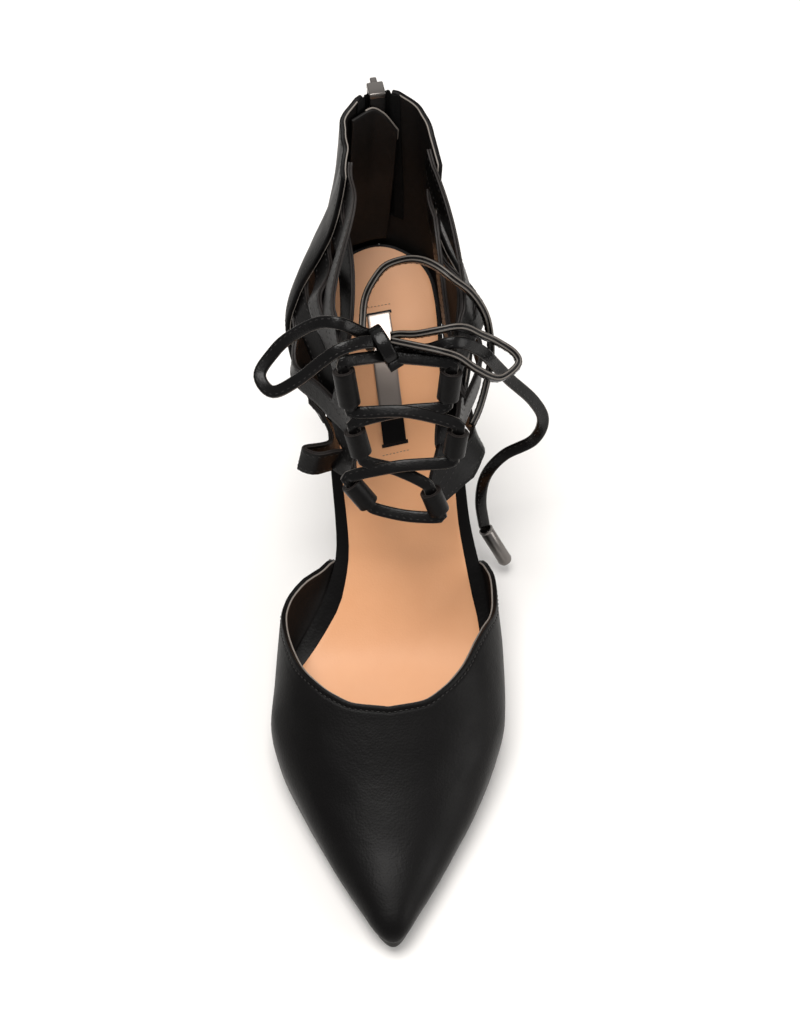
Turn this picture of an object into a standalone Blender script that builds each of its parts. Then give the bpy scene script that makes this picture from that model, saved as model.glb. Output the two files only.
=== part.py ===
"""Laced two-piece pump for the left foot, one object for each of its maker's pieces.

Blender units are metres with +Z up; the toe points to -Y and the medial side is -X.
Tables and constants below are in millimetres and degrees unless a name says otherwise.
A station is a distance behind the toe tip; `place` turns (side, station, height) into metres.
"""
import math

import bmesh
import bpy
import numpy as np
from mathutils import Matrix, Vector

MM = 0.001
OBJECT_NAME = "laced_pump"
MEDIAL, LATERAL = -1.0, 1.0
SIDE_NAMES = {MEDIAL: "medial", LATERAL: "lateral"}

# Frame: the point on the floor below the middle of the shoe
ORIGIN_SIDE = 0.18
ORIGIN_STATION = 117.11

# Driving sizes
LENGTH = 229.2
UPPER_WALL = 1.7
GAP = 0.3
LAYER_GAP = 0.4
BOARD_THICK = 2.7
SOCK_THICK = 1.0
SOLE_THICK = 2.7
SOLE_END = 186.0
HEEL_LIFT = 5.0
COLLAR_BACK = 165.0
COLLAR_FRONT = 153.0
COLLAR_TWIST = 10.0
COLLAR_SHIFT = 1.5
TWIST_STATION = 215.0
QUARTER_REACH_SEAT = 69.0
QUARTER_REACH_COLLAR = 38.0
FLARE_START = 22.0
ZIP_SLOT = 5.6
ZIP_FOOT = 0.2
ZIP_FOOT_GAP = 0.012
ZIP_TOP = 163.4
ZIP_MIDDLE = 0.85
TAPE_SIDE_GAP = 0.7
TAPE_OUTER, TAPE_INNER = 0.4, 1.3
TEETH_HALF = 2.2
TEETH_OUTER, TEETH_INNER = -0.2, 1.9
SLIDER_DROP = 4.0
PULL_THICK = 1.1
GUARD_FOOT = 0.07
GUARD_THICK = 1.0
STRAP_THICK = 1.5
STRAP_SINK = 0.3
STRAP_TUCK = 8.0
STRAP_CLEAR = 3.0
STRAP_SPACING = 3.2
LOOP_RADIUS = 2.9
LOOP_WRAP = 285.0
LOOP_RAKE = 21.0
LOOP_TURN = 42.0
LACE_RADIUS = 1.4
LACE_CLEAR = 0.5
LACE_RUN_OUT = 2.4
LACE_FINE = 1.2
LACE_TURN_POINTS = 4
LACE_STRIDE = 4
CORD_SPACING = 5.8
KNOT_RADIUS = 3.6
KNOT_CENTRE = (0.0, 157.0, 123.0)
KNOT_FOOT = (0.0, 154.6, 120.4)
AGLET_RADIUS = 2.3
PLATE_START, PLATE_LENGTH = 168.5, 35.0
PLATE_SIDE, PLATE_DRIFT = 4.2, -5.0
PLATE_HALF, PLATE_SKEW = 4.0, 0.15
PLATE_BOW, PLATE_THICK = 1.3, 0.7
HEEL_SIDE = -0.2
HEEL_SEAT_GAP = 0.5


class Table:
    """A short table of named columns, read smoothly against its first column."""

    def __init__(self, names, rows, key=None):
        self.key = key or (lambda value: value)
        data = np.array(rows, dtype=float)
        self.at = np.array([self.key(value) for value in data[:, 0]])
        self.columns = {name: data[:, index] for index, name in enumerate(names)}
        self.slopes = {name: self._slopes(column) for name, column in self.columns.items()}

    def _slopes(self, column):
        step = np.diff(self.at)
        rise = np.diff(column) / step
        slope = np.zeros(len(column))
        slope[0], slope[-1] = rise[0], rise[-1]
        for index in range(1, len(column) - 1):
            before, after = rise[index - 1], rise[index]
            if before * after > 0.0:
                first = 2.0 * step[index] + step[index - 1]
                second = step[index] + 2.0 * step[index - 1]
                slope[index] = (first + second) / (first / before + second / after)
        return slope

    def read(self, name, value):
        """Value of one column at a key value, by monotone cubic pieces."""
        spot = min(max(self.key(value), self.at[0]), self.at[-1])
        index = int(min(np.searchsorted(self.at, spot, side="right") - 1, len(self.at) - 2))
        span = self.at[index + 1] - self.at[index]
        part = (spot - self.at[index]) / span
        low, high = self.columns[name][index], self.columns[name][index + 1]
        bend_low, bend_high = self.slopes[name][index] * span, self.slopes[name][index + 1] * span
        square, cube = part * part, part ** 3
        return ((2 * cube - 3 * square + 1) * low + (cube - 2 * square + part) * bend_low
                + (3 * square - 2 * cube) * high + (cube - square) * bend_high)


def rounded(station):
    """Key that packs both ends of the shoe, so that widths close there in a round."""
    return math.acos(1.0 - 2.0 * min(max(station, 0.0), LENGTH) / LENGTH)


# Underside of the insole board, from toe spring to heel seat
PROFILE = Table(("station", "height"), (
    (0.0, 9.1), (12.0, 6.6), (30.0, 4.1), (55.0, 3.1), (85.0, 3.1), (105.0, 5.6),
    (138.3, 26.4), (166.7, 54.2), (193.8, 76.8), (LENGTH, 92.9)))

# Lower edge of the upper, which is the outline of the last's bottom
OUTLINE = Table(("station", "medial", "lateral"), (
    (0.0, 0.0, 0.0), (5.0, 5.6, 5.0), (9.0, 7.8, 7.1), (17.0, 12.4, 11.4), (30.0, 19.2, 18.1),
    (46.0, 27.6, 26.9), (64.0, 35.2, 34.5), (77.0, 38.3, 38.0), (90.0, 37.6, 38.9),
    (104.0, 35.6, 38.8), (112.0, 31.2, 38.6), (120.0, 26.0, 38.0), (130.0, 20.2, 35.7),
    (142.0, 18.0, 33.1), (150.0, 18.7, 31.5), (158.0, 19.8, 30.6), (175.0, 21.2, 26.8),
    (190.0, 22.4, 23.8), (206.0, 22.8, 22.4), (215.0, 21.2, 20.6), (222.0, 17.0, 16.4),
    (226.5, 10.2, 9.8), (LENGTH, 0.0, 0.0)), rounded)

# Last above its bottom: widest reach on each side, its rise, and the rise of the crown
LAST = Table(("station", "medial", "lateral", "wide_rise", "crown_rise"), (
    (0.0, 0.0, 0.0, 0.0, 0.0), (2.0, 4.4, 3.8, 1.8, 5.0), (5.0, 7.0, 6.0, 2.8, 8.0),
    (9.0, 9.3, 8.3, 3.6, 10.5), (17.0, 14.2, 13.3, 5.0, 14.0), (30.0, 21.5, 20.7, 7.0, 18.8),
    (46.0, 29.7, 29.2, 9.5, 25.5), (64.0, 37.7, 36.7, 12.0, 34.5), (77.0, 40.4, 40.2, 13.0, 41.5),
    (90.0, 39.3, 40.8, 14.0, 46.5), (104.0, 38.1, 40.6, 15.0, 49.0), (112.0, 37.2, 39.9, 15.5, 48.5),
    (118.0, 35.2, 39.3, 15.5, 46.0), (126.0, 29.8, 38.6, 13.0, 40.0), (133.0, 22.6, 36.8, 8.5, 32.0),
    (140.0, 18.2, 33.6, 4.0, 26.0)), rounded)

# Topline of the vamp: sweep runs from the sole edge (0) over the side to the crown (1)
TOPLINE = Table(("sweep", "medial", "lateral"), (
    (0.0, 138.5, 137.5), (0.12, 137.6, 136.6), (0.2, 135.6, 134.0), (0.25, 130.0, 129.0),
    (0.31, 118.5, 120.5), (0.38, 109.5, 113.0), (0.45, 102.0, 107.5), (0.52, 95.0, 102.5),
    (0.6, 87.5, 95.0), (0.69, 81.0, 84.5), (0.78, 75.5, 77.0), (0.87, 71.8, 72.2), (1.0, 70.2, 70.2)))

# Width of the black board rim that shows round the sock
RIM = Table(("station", "inset"), (
    (0.0, 2.4), (30.0, 1.0), (90.0, 1.2), (112.0, 2.6), (165.0, 3.2), (200.0, 1.0), (LENGTH, 0.8)))

# Quarter: how far it stands off its lower edge, going up, at the back, on both sides of the heel,
# and at the two front edges
QUARTER = Table(("level", "back", "medial", "lateral", "medial_front", "lateral_front"), (
    (0.0, 0.0, 0.0, 0.0, 0.0, 0.0), (0.1, 1.1, 0.3, 0.7, 5.5, 2.5), (0.2, 1.7, 0.0, 1.2, 10.0, 4.0),
    (0.38, 2.0, -1.5, 0.9, 13.0, 5.0), (0.5, 1.8, -3.0, 0.2, 10.0, 2.0),
    (0.67, 1.1, -5.5, -1.6, 1.8, -5.0), (0.75, 0.8, -6.5, -2.4, -1.6, -7.0),
    (0.9, 0.3, -8.2, -4.0, -5.2, -6.6), (1.0, 0.0, -9.0, -5.0, -6.8, -5.7)))

# Heel below the seat
HEEL = Table(("down", "front", "back", "half"), (
    (0.0, 189.5, 228.4, 22.0), (0.08, 192.0, 227.6, 19.2), (0.2, 197.0, 225.6, 13.2),
    (0.36, 202.6, 223.4, 8.6), (0.6, 206.4, 221.0, 6.2), (0.85, 208.4, 219.2, 5.1),
    (1.0, 208.8, 218.8, 4.9)))

# Lace loops, with their lean and half length, and the crotch where the two arms of each tab part
LOOP_NAMES = ("tab", "side", "reach", "station", "height", "crotch_reach", "crotch_station", "crotch_height",
              "lean", "half_length", "crotch_rake", "crotch_lean", "width")
LOOPS = (
    ("top", MEDIAL, 12.0, 146.5, 115.0, 18.4, 168.0, 123.2, -8.0, 6.2, 21.0, 0.0, 8.4),
    ("top", LATERAL, 21.0, 145.6, 116.4, 28.6, 166.0, 124.0, 6.0, 5.0, 21.0, 0.0, 8.4),
    ("middle", MEDIAL, 8.7, 138.4, 96.4, 16.4, 156.0, 96.4, -13.0, 4.4, 21.0, 0.0, 8.4),
    ("middle", LATERAL, 23.3, 136.8, 97.2, 26.0, 153.0, 95.4, 8.0, 4.2, 21.0, 0.0, 8.4),
    ("low", MEDIAL, 8.4, 131.4, 77.2, 13.5, 149.0, 78.0, -35.0, 4.9, 50.0, 0.0, 9.4),
    ("low", LATERAL, 16.5, 128.4, 76.2, 24.4, 145.0, 76.8, -20.0, 4.2, 45.0, -12.0, 9.4),
)

# Arms: place on the tab (1 upper, -1 lower), level on the quarter's front edge, outward turn
# where they leave it on each side, how far each end keeps its direction, and how directly they
# come to the crotch
ARM_NAMES = ("tab", "half", "level", "medial", "lateral", "leave", "arrive", "direct")
ARMS = (
    ("top", 1, 0.94, 0.0, 0.0, 30.0, 30.0, 0.4),
    ("top", -1, 0.65, 14.0, 10.0, 34.0, 40.0, 0.0),
    ("middle", 1, 0.78, -8.0, -8.0, 40.0, 40.0, 1.6),
    ("middle", -1, 0.365, 24.0, 12.0, 46.0, 52.0, 0.0),
    ("low", 1, 0.49, -19.0, -10.0, 44.0, 40.0, 1.6),
    ("low", -1, 0.1, 0.0, 0.0, 46.0, 56.0, 0.0),
)

# Bends that folded arms take on their way to the crotch
FOLD_NAMES = ("tab", "half", "side", "across", "station", "height")
FOLDS = (
    ("low", -1, MEDIAL, -18.8, 166.0, 70.0),
    ("low", -1, MEDIAL, -17.6, 154.6, 71.0),
    ("low", -1, MEDIAL, -28.0, 150.5, 72.6),
    ("low", -1, MEDIAL, -23.5, 146.9, 73.4),
    ("low", -1, LATERAL, 28.0, 168.0, 76.0),
    ("low", -1, LATERAL, 31.6, 154.0, 76.2),
    ("low", -1, LATERAL, 29.8, 148.4, 75.2),
)

# Zip guard: a flap behind the zip, from its medial edge to its free edge
GUARD = Table(("share", "reach_low", "reach_high", "top", "inward"), (
    (0.0, -12.0, -12.5, 160.0, 2.45), (0.4, -6.0, -4.5, 161.0, 4.0), (0.7, -1.5, 2.5, 158.0, 4.1),
    (1.0, 3.0, 8.5, 150.5, 3.4)))

# Slider body, its plates and the crown that holds the pull, and the pull's hinge, in the slider's frame
SLIDER_NAMES = ("name", "half", "inner", "outer", "low", "high")
SLIDER = (
    ("zip_slider", 2.7, -2.9, 2.9, 4.2, 6.4),
    ("slider_outer", 2.6, 1.8, 2.8, -3.5, 5.2),
    ("slider_inner", 2.6, -2.8, -1.8, -2.0, 5.2),
    ("crown_low", 0.8, 2.3, 5.8, -2.6, -1.4),
    ("crown_top", 0.8, 2.3, 5.8, 4.6, 5.8),
    ("crown_arch", 0.7, 4.7, 5.7, -2.0, 5.1),
)
PULL_HINGE = (0.0, 3.8, -0.4)

# Free lace routes through (side, station, height)
ROUTE_NAMES = ("side", "station", "height")
BOW_MEDIAL = (
    (-3.0, 160.0, 124.0), (-6.5, 160.0, 125.4), (-13.5, 159.2, 131.2), (-21.0, 161.4, 129.0),
    (-30.4, 162.6, 120.5), (-35.7, 160.6, 115.5), (-40.2, 155.2, 111.0), (-36.0, 149.0, 110.0),
    (-27.7, 149.2, 115.5), (-19.5, 150.8, 123.0), (-14.0, 152.4, 126.6), (-7.5, 154.8, 126.8),
    (-3.0, 156.2, 125.8))
BOW_LATERAL = (
    (3.0, 160.0, 124.0), (6.0, 159.5, 125.2), (11.0, 157.4, 127.6), (18.0, 156.6, 130.4),
    (24.5, 157.6, 130.6), (30.5, 159.4, 125.0), (37.0, 161.6, 118.0), (42.8, 160.0, 114.0),
    (43.6, 156.4, 112.0), (36.8, 151.0, 112.5), (29.0, 149.0, 120.5), (23.0, 149.0, 126.6),
    (17.5, 149.4, 128.8), (9.5, 152.8, 127.6), (3.0, 156.2, 125.8))
END_MEDIAL = (
    (-3.2, 158.6, 119.8), (-5.2, 159.8, 119.6), (-6.4, 164.4, 120.4), (-6.4, 168.8, 122.4),
    (-5.6, 173.7, 126.0), (-3.2, 177.1, 130.0), (1.3, 180.6, 134.0), (7.7, 180.1, 137.5),
    (12.9, 176.9, 140.5), (17.9, 171.4, 143.0), (22.4, 167.5, 142.0), (27.6, 166.2, 137.5),
    (32.6, 166.0, 127.5), (35.0, 165.2, 116.0), (35.4, 162.6, 107.0), (33.8, 157.0, 100.5),
    (31.4, 150.4, 96.6), (28.9, 145.5, 94.8))
END_LATERAL = (
    (3.0, 158.6, 119.9), (6.0, 158.0, 120.1), (10.0, 155.8, 121.6), (15.0, 153.6, 124.6),
    (20.0, 153.0, 127.8), (25.0, 153.8, 127.2), (31.5, 156.6, 119.5), (37.0, 159.0, 109.0),
    (42.1, 160.2, 100.0), (50.7, 161.5, 87.0), (54.8, 161.6, 76.0), (52.0, 160.5, 66.0),
    (42.4, 160.2, 58.0), (36.4, 158.5, 48.5), (34.9, 156.5, 36.0), (36.6, 154.6, 22.4))

# Metal tube on the visible lace end, from its open end to its tip
AGLET_NAMES = ("side", "station", "height")
AGLET = ((37.1, 154.1, 21.0), (45.2, 149.3, 6.2))


def place(side, station, height):
    """Point in metres in the object's frame."""
    return Vector(((side - ORIGIN_SIDE) * MM, (station - ORIGIN_STATION) * MM, height * MM))


def rows_of(names, table, **wanted):
    """Rows of a table as dictionaries, kept where they hold the wanted values."""
    named = [dict(zip(names, row)) for row in table]
    return [row for row in named if all(row[name] == value for name, value in wanted.items())]


def edge_of(side, station):
    """Signed reach of the last's bottom outline."""
    return side * OUTLINE.read(SIDE_NAMES[side], station)


def slope_at(station):
    """Slope angle of the last's bottom."""
    before, after = max(station - 1.0, 0.0), min(station + 1.0, LENGTH)
    return math.atan2(PROFILE.read("height", after) - PROFILE.read("height", before), after - before)


def bottom_point(side, station, offset):
    """Point a distance off the last's bottom, measured square to it."""
    slope = slope_at(station)
    return place(side, station - offset * math.sin(slope),
                 PROFILE.read("height", station) + offset * math.cos(slope))


def stations_between(first, last, count):
    """Stations packed towards the two ends of the shoe."""
    low, high = rounded(first), rounded(last)
    turns = [low + (high - low) * index / (count - 1) for index in range(count)]
    return [LENGTH * (1.0 - math.cos(turn)) / 2.0 for turn in turns]


def inset_point(side, station, inset):
    """Plan point of the outline moved inwards along its own normal."""
    if station <= 0.0 or station >= LENGTH:
        return 0.0, station + (inset if station <= 0.0 else -inset)
    step = 0.02
    key = rounded(station)
    before = LENGTH * (1.0 - math.cos(max(key - step, 0.0))) / 2.0
    after = LENGTH * (1.0 - math.cos(min(key + step, math.pi))) / 2.0
    run = after - before
    rise = edge_of(side, after) - edge_of(side, before)
    size = math.hypot(run, rise)
    return edge_of(side, station) - side * inset * run / size, station + side * inset * rise / size


def material(name, colour, rough, metal=0.0):
    """Principled material for one piece."""
    made = bpy.data.materials.new(name)
    made.use_nodes = True
    shader = made.node_tree.nodes["Principled BSDF"]
    shader.inputs["Base Color"].default_value = (*colour, 1.0)
    shader.inputs["Roughness"].default_value = rough
    shader.inputs["Metallic"].default_value = metal
    made.diffuse_color = (*colour, 1.0)
    return made


def link(name, mesh, look, group):
    """Object for a mesh, shaded smooth apart from its sharp edges."""
    mesh.shade_smooth()
    mesh.set_sharp_from_angle(angle=math.radians(35.0))
    mesh.materials.append(look)
    made = bpy.data.objects.new(name, mesh)
    group.objects.link(made)
    return made


def from_bmesh(name, shape, look, group):
    """Object from a bmesh."""
    mesh = bpy.data.meshes.new(name)
    shape.to_mesh(mesh)
    shape.free()
    return link(name, mesh, look, group)


def grid_sheet(rows, away, keep=None):
    """Open sheet through rows of points, facing away from a point; equal neighbours fall together."""
    sheet = bmesh.new()
    verts = [[sheet.verts.new(point) for point in row] for row in rows]
    for low in range(len(rows) - 1):
        for left in range(len(rows[0]) - 1):
            if keep is None or keep(low, left):
                sheet.faces.new((verts[low][left], verts[low][left + 1],
                                 verts[low + 1][left + 1], verts[low + 1][left]))
    loose = [vert for vert in sheet.verts if not vert.link_faces]
    bmesh.ops.delete(sheet, geom=loose, context="VERTS")
    bmesh.ops.remove_doubles(sheet, verts=sheet.verts, dist=1e-6)
    sheet.normal_update()
    facing = sum(face.normal.dot(face.calc_center_median() - away) * face.calc_area() for face in sheet.faces)
    if facing < 0.0:
        bmesh.ops.reverse_faces(sheet, faces=sheet.faces)
    return sheet


def wall(made, thick, offset):
    """Give a sheet object its thickness."""
    solid = made.modifiers.new("wall", "SOLIDIFY")
    solid.thickness = thick * MM
    solid.offset = offset
    solid.use_quality_normals = True
    return made


def loft(name, rings, look, group):
    """Closed solid through rings of equal counts, capped at both ends."""
    shape = bmesh.new()
    verts = [[shape.verts.new(point) for point in ring] for ring in rings]
    count = len(rings[0])
    for low in range(len(rings) - 1):
        for index in range(count):
            after = (index + 1) % count
            shape.faces.new((verts[low][index], verts[low][after],
                             verts[low + 1][after], verts[low + 1][index]))
    shape.faces.new(verts[0])
    shape.faces.new(verts[-1])
    bmesh.ops.recalc_face_normals(shape, faces=shape.faces)
    return from_bmesh(name, shape, look, group)


def sole_layer(name, stations, inset, base, thick, across, look, group):
    """Layer that lies along the last's bottom, from an offset upwards."""
    rows = []
    for station in stations:
        medial = inset_point(MEDIAL, station, inset(station))
        lateral = inset_point(LATERAL, station, inset(station))
        shares = [index / (across - 1) for index in range(across)]
        rows.append([bottom_point(medial[0] + (lateral[0] - medial[0]) * share,
                                  medial[1] + (lateral[1] - medial[1]) * share, base) for share in shares])
    sheet = grid_sheet(rows, place(0.0, 120.0, -500.0))
    return wall(from_bmesh(name, sheet, look, group), thick, 1.0)


def last_point(side, station, sweep):
    """Point on the last's surface: sweep 0 at the sole edge, 1 at the crown."""
    foot = edge_of(side, station)
    wide = side * LAST.read(SIDE_NAMES[side], station)
    rise = LAST.read("wide_rise", station)
    crown = LAST.read("crown_rise", station)
    base = PROFILE.read("height", station)
    turn = 0.24
    if sweep <= turn:
        angle = math.pi / 2.0 * sweep / turn
        return place(foot + (wide - foot) * math.sin(angle), station, base + rise * (1.0 - math.cos(angle)))
    angle = math.pi / 2.0 * (sweep - turn) / (1.0 - turn)
    power = 2.0 / 2.15
    return place(wide * max(math.cos(angle), 0.0) ** power, station,
                 base + rise + (crown - rise) * math.sin(angle) ** power)


def vamp_piece(look, group):
    """Pointed vamp, open at the throat and underneath."""
    half, count = 14, 19
    sweeps = [(MEDIAL, index / half) for index in range(half)]
    sweeps += [(LATERAL, 1.0 - index / half) for index in range(half + 1)]
    rows = []
    for row in range(count):
        share = (row / (count - 1)) ** 1.7
        rows.append([last_point(side, TOPLINE.read(SIDE_NAMES[side], sweep) * share, sweep)
                     for side, sweep in sweeps])
    sheet = grid_sheet(rows, place(0.0, 60.0, 5.0))
    return wall(from_bmesh("upper_vamp", sheet, look, group), UPPER_WALL, -1.0)


def seat_arc(side):
    """Arc length from the back centre, and plan points, along one side of the seat."""
    points = []
    for index in range(241):
        station = LENGTH * (1.0 - math.cos(math.pi * (1.0 - 0.42 * index / 240.0))) / 2.0
        points.append((edge_of(side, station), station))
    run = np.concatenate(([0.0], np.cumsum([math.dist(points[k], points[k + 1]) for k in range(240)])))
    return run, np.array(points)


SEAT_ARC = {side: seat_arc(side) for side in (MEDIAL, LATERAL)}


def seat_point(reach):
    """Plan point and outward normal at a signed arc length from the back centre."""
    side = LATERAL if reach >= 0.0 else MEDIAL
    run, points = SEAT_ARC[side]

    def at(distance):
        return np.array([np.interp(distance, run, points[:, axis]) for axis in (0, 1)])
    step = 1.5
    ahead, behind = at(abs(reach) + step), at(max(abs(reach) - step, 0.0))
    if abs(reach) < step:
        behind = at(step - abs(reach)) * np.array([-1.0, 1.0])
    along = (ahead - behind) / np.linalg.norm(ahead - behind)
    return at(abs(reach)), np.array([side * -along[1], side * along[0]])


def quarter_reach(level):
    """Arc length from the back centre to the quarter's front edge at one level."""
    return QUARTER_REACH_SEAT + (QUARTER_REACH_COLLAR - QUARTER_REACH_SEAT) * level


def quarter_skin(reach, level):
    """Point on the quarter's outer face."""
    spot, normal = seat_point(reach)
    back = normal[1] ** 2 if normal[1] > 0.0 else 0.0
    front = min(max((abs(reach) - FLARE_START) / (quarter_reach(level) - FLARE_START), 0.0), 1.2)
    front = front * front * (3.0 - 2.0 * front) if front < 1.0 else 1.0
    name = SIDE_NAMES[LATERAL if reach >= 0.0 else MEDIAL]
    edge = QUARTER.read(name + "_front", level)
    beside = QUARTER.read(name, level)
    off = back * QUARTER.read("back", level) + (1.0 - back) * (beside + (edge - beside) * front)
    side, station = spot + normal * off
    turn = math.radians(COLLAR_TWIST) * level
    away = station - TWIST_STATION
    turned = side * math.cos(turn) - away * math.sin(turn) + COLLAR_SHIFT * level
    station = TWIST_STATION + side * math.sin(turn) + away * math.cos(turn)
    base = PROFILE.read("height", spot[1])
    share = min(max((abs(reach) - 8.0) / (QUARTER_REACH_COLLAR - 8.0), 0.0), 1.0)
    top = COLLAR_BACK + (COLLAR_FRONT - COLLAR_BACK) * share
    return place(turned, station, base + (top - base) * level)


def quarter_point(reach, level, inward=0.0):
    """Point on the quarter's outer face, or a distance inside it, measured square to it."""
    point = quarter_skin(reach, level)
    along = quarter_skin(reach + 1.5, level) - quarter_skin(reach - 1.5, level)
    rise = quarter_skin(reach, min(level + 0.02, 1.0)) - quarter_skin(reach, max(level - 0.02, 0.0))
    return point - rise.cross(along).normalized() * inward * MM


def quarter_piece(look, group):
    """Back quarter with its zip slot."""
    side_count = 11
    levels = [0.0, 0.06, 0.12, ZIP_FOOT, 0.27, 0.34, 0.41, 0.48, 0.55, 0.62, 0.69, 0.76, 0.84, 0.92, 1.0]
    slot = [-ZIP_SLOT / 2.0, 0.0, ZIP_SLOT / 2.0]
    rows = []
    for level in levels:
        reach = quarter_reach(level)
        run = [ZIP_SLOT + (reach - ZIP_SLOT) * index / side_count for index in range(side_count + 1)]
        across = [-value for value in reversed(run)] + slot + run
        rows.append([quarter_skin(value, level) for value in across])
    foot = levels.index(ZIP_FOOT)
    inside = range(side_count, side_count + len(slot) + 1)
    sheet = grid_sheet(rows, place(0.0, 200.0, 110.0), lambda low, left: left not in inside or low < foot)
    return wall(from_bmesh("upper_quarter", sheet, look, group), UPPER_WALL, -1.0)


def level_at(reach, height):
    """Level on the quarter that has a height at one arc length."""
    low, high = quarter_skin(reach, 0.0).z, quarter_skin(reach, 1.0).z
    return (height * MM - low) / (high - low)


def guard_piece(look, group):
    """Flap behind the zip, held inside the quarter along its medial edge."""
    across, tall = 7, 9
    rows = []
    for step in range(tall):
        row = []
        for index in range(across):
            share = index / (across - 1)
            low, high, top = (GUARD.read(name, share) for name in ("reach_low", "reach_high", "top"))
            rise = step / (tall - 1)
            reach = low + (high - low) * rise
            level = GUARD_FOOT + (level_at(reach, top) - GUARD_FOOT) * rise
            row.append(quarter_point(reach, level, GUARD.read("inward", share)))
        rows.append(row)
    sheet = grid_sheet(rows, place(0.0, 190.0, 120.0))
    return wall(from_bmesh("zip_guard", sheet, look, group), GUARD_THICK, -1.0)


def zip_chain_piece(look, group):
    """Zip tape with its raised row of teeth, in the slot of the quarter."""
    half, rib = ZIP_SLOT - TAPE_SIDE_GAP, TEETH_HALF
    section = ((-half, TAPE_OUTER), (-rib, TAPE_OUTER), (-rib, TEETH_OUTER), (rib, TEETH_OUTER),
               (rib, TAPE_OUTER), (half, TAPE_OUTER), (half, TAPE_INNER), (rib, TAPE_INNER),
               (rib, TEETH_INNER), (-rib, TEETH_INNER), (-rib, TAPE_INNER), (-half, TAPE_INNER))
    count = 10
    foot, top = ZIP_FOOT + ZIP_FOOT_GAP, level_at(0.0, ZIP_TOP - GAP)
    levels = [foot + (top - foot) * index / (count - 1) for index in range(count)]
    rings = [[quarter_point(reach, level, inward) for reach, inward in section] for level in levels]
    return loft("zip_chain", rings, look, group)


def block(name, low, high, frame, look, group):
    """Box between two corners of a frame."""
    shape = bmesh.new()
    bmesh.ops.create_cube(shape, size=1.0)
    size = Vector(high) - Vector(low)
    bmesh.ops.scale(shape, vec=size * MM, verts=shape.verts)
    bmesh.ops.translate(shape, vec=(Vector(high) + Vector(low)) / 2.0 * MM, verts=shape.verts)
    bmesh.ops.transform(shape, matrix=frame, verts=shape.verts)
    return from_bmesh(name, shape, look, group)


def join(base, others, cutters):
    """Unite solids into one body; the others stay as hidden helpers."""
    for other in others:
        for owner in list(other.users_collection):
            owner.objects.unlink(other)
        cutters.objects.link(other)
        other.hide_render = True
        other.display_type = "WIRE"
        union = base.modifiers.new("union", "BOOLEAN")
        union.operation = "UNION"
        union.solver = "EXACT"
        union.object = other
    return base


def zip_frame():
    """Frame at the slider: side, outwards and up from the middle of the zip tape."""
    level = level_at(0.0, ZIP_TOP - SLIDER_DROP)
    centre = quarter_point(0.0, level, ZIP_MIDDLE)
    out = quarter_skin(0.0, level) - centre
    return Matrix.Translation(centre) @ Matrix.Rotation(math.atan2(-out.x, out.y), 4, "Z")


def slider_piece(look, group, cutters):
    """Slider that straddles the top of the zip, with the crown that holds its pull."""
    frame = zip_frame()
    blocks = [block(row["name"], (-row["half"], row["inner"], row["low"]),
                    (row["half"], row["outer"], row["high"]), frame, look, group)
              for row in rows_of(SLIDER_NAMES, SLIDER)]
    return join(blocks[0], blocks[1:], cutters)


def pull_piece(look, group):
    """Pull tab: a plate with an eye, hung from the crown with its origin on the hinge line."""
    sides = (-2.6, -1.3, 1.3, 2.6)
    downs = (0.65, -0.65, -7.4, -11.5, -21.0, -24.0)
    shrink = (1.0, 1.0, 1.0, 0.9, 1.12, 0.8)
    rows = [[Vector((side * size * MM, 0.0, down * MM)) for side in sides]
            for down, size in zip(downs, shrink)]
    sheet = grid_sheet(rows, Vector((0.0, -1.0, 0.0)), lambda low, left: not (low == 1 and left == 1))
    made = wall(from_bmesh("zip_pull", sheet, look, group), PULL_THICK, 0.0)
    made.matrix_world = zip_frame() @ Matrix.Translation(Vector(PULL_HINGE) * MM)
    return made


def hermite(start, leave, end, arrive, count):
    """Points of a cubic from start to end with the given end directions."""
    points = []
    for index in range(count):
        share = index / (count - 1)
        square, cube = share * share, share ** 3
        points.append((2 * cube - 3 * square + 1) * start + (cube - 2 * square + share) * leave
                      + (3 * square - 2 * cube) * end + (cube - square) * arrive)
    return points


def ease(value):
    """Smooth step from 0 to 1."""
    value = min(max(value, 0.0), 1.0)
    return value * value * (3.0 - 2.0 * value)


def leaning(rake, lean):
    """Direction upwards that leans back by a rake and sideways by a lean."""
    back, aside = math.radians(rake), math.radians(lean)
    return Vector((math.sin(aside), math.cos(aside) * math.sin(back), math.cos(aside) * math.cos(back)))


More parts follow.
